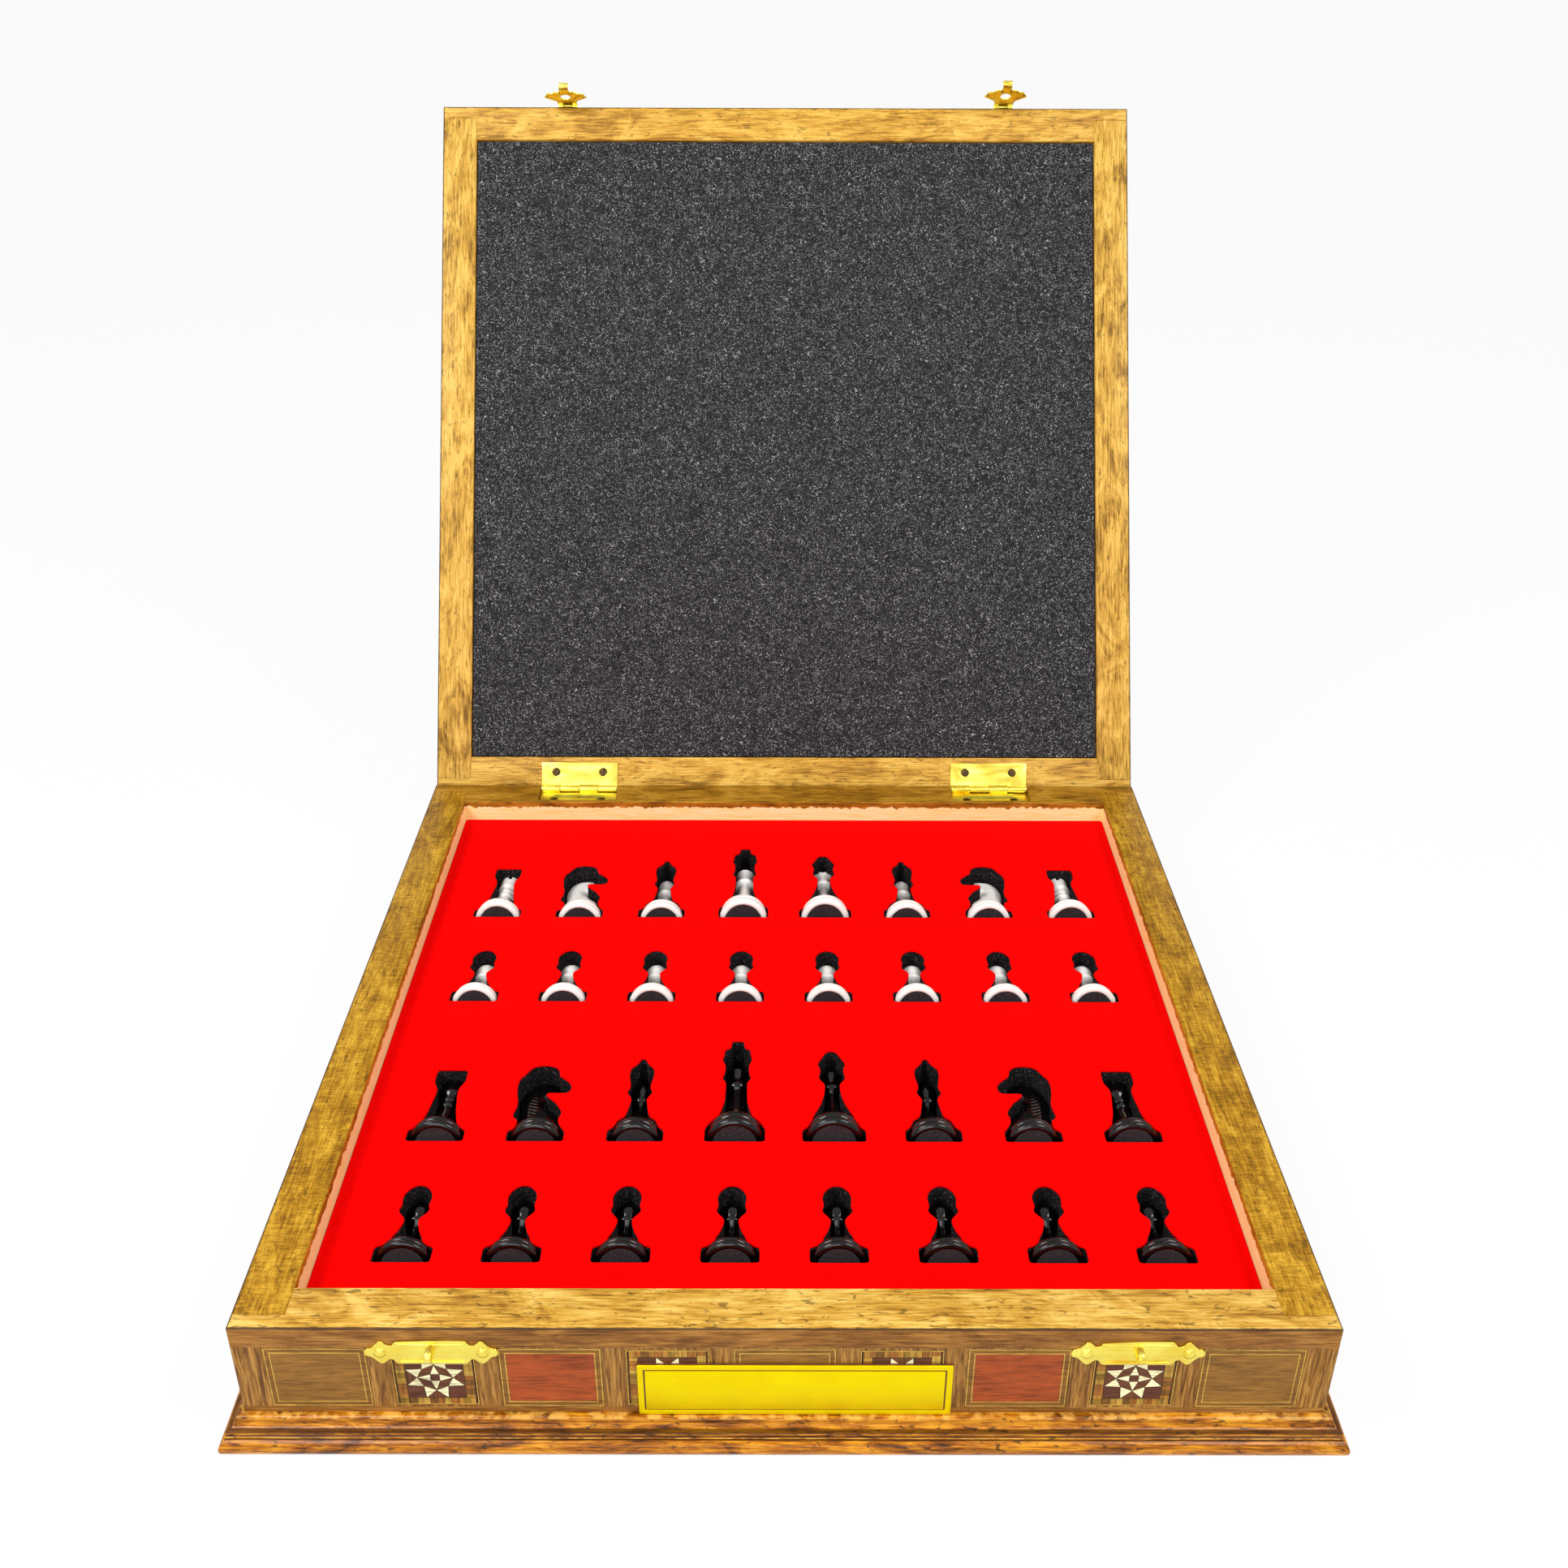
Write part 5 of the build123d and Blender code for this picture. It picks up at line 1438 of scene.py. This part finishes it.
def staple(x):
    """A stout loop on edge, standing on the plate."""
    reach, height, bar_width, half_width, above_middle = 5.2, 4.3, 1.2, 1.1, 1.9
    arch = height / 2
    centre = sheet_thickness + reach - arch

    def stadium(radius):
        turns = [math.pi * step / 12 - math.pi / 2 for step in range(13)]
        arc = [(centre + radius * math.cos(a), radius * math.sin(a)) for a in turns]
        return [(0.4, -radius), *arc, (0.4, radius)]

    band_loop = stadium(arch) + stadium(arch - bar_width)[::-1]
    loop_mesh = rounded_plate("staple", [band_loop], -half_width, half_width, 0.45, steps=3)
    # Drawn in the (out, up) plane; the matrix makes out the plate's own +Z and up its +Y, and since that turns
    # the mesh inside out, mesh_of sets its faces right again.
    loop_mesh.transform(Matrix.Translation(Vector((x, above_middle, 0)) * MM)
                        @ Matrix(((0, 0, 1, 0), (0, 1, 0, 0), (1, 0, 0, 0), (0, 0, 0, 1))))
    bm = bmesh.new()
    bm.from_mesh(loop_mesh)
    return mesh_of(bm, "staple", smooth_angle=45)


nail_outline = curved([(0.7, 0.0), (0.7, 1.7, C), (0.85, 1.95, C), (1.1, 1.8), (1.5, 1.25), (1.72, 0.6),
                       (1.78, 0.0)])
nail_spots = [(x + side * nail_offset, 0, 0) for x in catch_places for side in (-1, 1)]


def nails(name, seed, z):
    """Both plates' nails, on the front face at height z."""
    head = turn("nail_head", nail_outline, 20, brass)
    return upright_on_front(set_heads(name, nail_spots, head, seed, brass), z)


latch_parts = [part for x in catch_places for part in (*catch_plate(x), staple(x))]
latch_mesh = upright_on_front(joined("latch_plates", *latch_parts), catch_middle)
settle("catch_plates_lower", latch_mesh, [brass], "latch_plates")
settle("catch_nails_lower", nails("lower_nails", 1, catch_middle), [brass], body="case")

# %% [markdown]
# ## Hasp plates and tongues
# The upper plate carries two knuckles and the pin that the tongue turns on. The tongue is a pressed fan: flutes
# spread from its root round the hole for the staple, it narrows to a neck, and the end is curled over for a
# fingertip. It is made as rings of points from the hole out to the edge, each lifted by the flute it
# lies on.

# %% Hasp plates
tongue_pin_y, tongue_pin_z, pin_radius, pin_half = -176.4, 51.5, 0.58, 4.7
hasp_middle, tab_offset, outer_length, tongue_length = 57.85, 3.56, 2.48, 4.4
hasp_parts = []
for x in catch_places:
    tabs = [bar((2.45, 5.2, sheet_thickness), (x + side * tab_offset, -5.6, sheet_thickness / 2), ease=0.15)
            for side in (-1, 1)]
    hasp_parts.append(upright_on_front(joined("hasp_plate", *catch_plate(x), *tabs), hasp_middle))
    for side in (-1, 1):
        knuckle = turn("hasp_knuckle", barrel(outer_length, 1.3, 1.25), 28, brass)
        hasp_parts.append(along_x(knuckle, x + side * tab_offset - outer_length / 2, tongue_pin_y, tongue_pin_z))
    pin = turn("hasp_pin", [(0, 0), (0, pin_radius), (2 * pin_half, pin_radius), (2 * pin_half, 0)], 16, brass)
    hasp_parts.append(along_x(pin, x - pin_half, tongue_pin_y, tongue_pin_z))
hasp_mesh = joined("hasp_plates", *hasp_parts)
hasp_mesh.transform(lid_open)
settle("catch_plates_upper", hasp_mesh, [brass], "hasp_leaves")
upper_nails = nails("upper_nails", 2, hasp_middle)
upper_nails.transform(lid_open)
settle("catch_nails_upper", upper_nails, [brass], body="lid")

# %% Tongues
tongue_half = [(0.0, 0.2), (2.1, 0.2), (2.15, 2.2), (4.7, 2.3), (4.75, 4.2), (5.5, 5.9), (7.2, 7.6), (9.2, 8.7),
               (10.7, 9.3), (10.75, 10.0), (10.2, 11.4), (9.5, 11.9), (9.0, 12.9), (7.9, 13.4), (7.1, 14.2),
               (5.9, 14.5), (4.7, 15.1), (3.3, 15.2), (2.5, 15.7), (2.2, 16.6), (2.3, 18.4), (0.0, 18.5)]
tongue_loop = [Vector(point) for point in tongue_half + [(-x, drop) for x, drop in tongue_half[::-1]]]
hole_drop, hole_radius, half_sheet, rim_ease = 10.0, 2.6, 0.38, 0.12
fan_start, fan_end, flute_height, flutes = 4.6, 15.4, 0.34, 18


def reach_at(angle):
    """How far the tongue's edge is from the hole's middle, in the direction of an angle from straight down."""
    direction = Vector((math.sin(angle), math.cos(angle)))
    best = 0.0
    for a, b in zip(tongue_loop, tongue_loop[1:] + tongue_loop[:1]):
        edge, offset = b - a, a - Vector((0, hole_drop))
        cross = direction.cross(edge)
        if abs(cross) < 1e-9:
            continue
        distance, share = offset.cross(edge) / cross, offset.cross(direction) / cross
        if distance > 0 and -1e-6 <= share <= 1 + 1e-6:
            best = max(best, distance)
    return best


def flute_at(x, drop):
    """The height of the pressing at a place on the tongue, in mm."""
    spread = math.atan2(abs(x), max(drop - 2.5, 0.01))
    in_fan = climb(drop, fan_start, 1.5) * climb(-drop, -fan_end, 1.2)
    off_hole = climb(math.hypot(x, drop - hole_drop), hole_radius + 0.3, 1.2)
    return flute_height * in_fan * off_hole * math.cos(spread * flutes) - 0.1 * in_fan * abs(x) / 10


def tongue_mesh(x):
    """One tongue, hanging shut."""
    columns, rings = 144, 9
    pin = Vector((x, tongue_pin_y, tongue_pin_z))
    bm = bmesh.new()
    sheets = []
    for side in (1, -1):
        rows = []
        for ring_number in range(rings + 1):
            row = []
            for column_number in range(columns):
                angle = 2 * math.pi * column_number / columns
                distance = hole_radius + (reach_at(angle) - hole_radius) * ring_number / rings
                px, drop = distance * math.sin(angle), hole_drop + distance * math.cos(angle)
                rim = rim_ease if ring_number in (0, rings) else 0.0
                lift = side * (half_sheet - rim) + flute_at(px, drop)
                row.append(bm.verts.new((pin + Vector((px, -lift, -drop))) * MM))
            rows.append(row)
        sheets.append(rows)
    front, back = sheets
    row_pairs = [*zip(front, front[1:]), *zip(back, back[1:]), (front[0], back[0]), (front[-1], back[-1])]
    for low_row, high_row in row_pairs:
        for i in range(columns):
            j = (i + 1) % columns
            bm.faces.new((low_row[i], low_row[j], high_row[j], high_row[i]))
    fan = mesh_of(bm, "tongue_fan", smooth_angle=50)

    knuckle = turn("tongue_knuckle", barrel(tongue_length, 1.3, 1.25), 28, brass)
    along_x(knuckle, x - tongue_length / 2, tongue_pin_y, tongue_pin_z)
    curl_out, curl_drop, curl_radius, neck_start, neck_half = -1.35, -18.4, 1.35, -17.6, 2.3
    turns = [math.radians(185) * step / 14 for step in range(15)]
    outer_arc, inner_arc = (
        [(curl_out + radius * math.cos(a), curl_drop - radius * math.sin(a)) for a in turns]
        for radius in (curl_radius + half_sheet, curl_radius - half_sheet)
    )
    strip = [(half_sheet, neck_start), *outer_arc, *inner_arc[::-1], (-half_sheet, neck_start)]
    curl_mesh = rounded_plate("tongue_curl", [strip], -neck_half, neck_half, 0.15)
    curl_mesh.transform(Matrix.Translation(pin * MM)
                        @ Matrix(((0, 0, 1, 0), (1, 0, 0, 0), (0, 1, 0, 0), (0, 0, 0, 1))))
    return joined("tongue", fan, knuckle, curl_mesh)


tongue_line = Matrix.Translation((0, tongue_pin_y * MM, tongue_pin_z * MM))
for name, x, swing in (("left", catch_places[0], 0.0), ("right", catch_places[1], 6.0)):
    swung = tongue_line @ Matrix.Rotation(math.radians(-swing), 4, "X") @ tongue_line.inverted()
    mesh = tongue_mesh(x)
    mesh.transform(lid_open @ swung)
    settle(f"tongue_{name}", mesh, [brass], f"hasp_{name}")
print("hasps and tongues:", len(mesh.polygons), "faces in each tongue")

# %% [markdown]
# ## Nameplate
# A small engraved plate stands on the plinth. It stays bare: a raised, rounded rim, a thin engraved border
# filled with dark wax, and the plain field. The groove is real: rim and field are two plates on a thinner one.

# %% Nameplate
plate_x, plate_low, plate_width, plate_height = 3.3, 11.95, 100.6, 22.4
rim_width, groove_width = 2.0, 0.45


def plate_outline(inset):
    return box_outline(0, 0, plate_width - 2 * inset, plate_height - 2 * inset)


whole = softened(plate_outline(0), 0.3)
rim = rounded_plate("plate_rim", [whole, plate_outline(rim_width)], 0.5, 1.2, 0.3)
field = rounded_plate("plate_field", [plate_outline(rim_width + groove_width)], 0.5, 1.15, 0.1)
ground = rounded_plate("plate_ground", [whole], 0, 0.9, 0.1)
bare_plate = joined("bare_nameplate", rim, field, ground, slots=(0, 0, 1))
bare_plate.transform(Matrix.Translation((plate_x * MM, 0, 0)))
upright_on_front(bare_plate, plate_low + plate_height / 2)
settle("bare_nameplate", bare_plate, [plate_brass, dark_fill.material], "nameplate")
print("nameplate set")
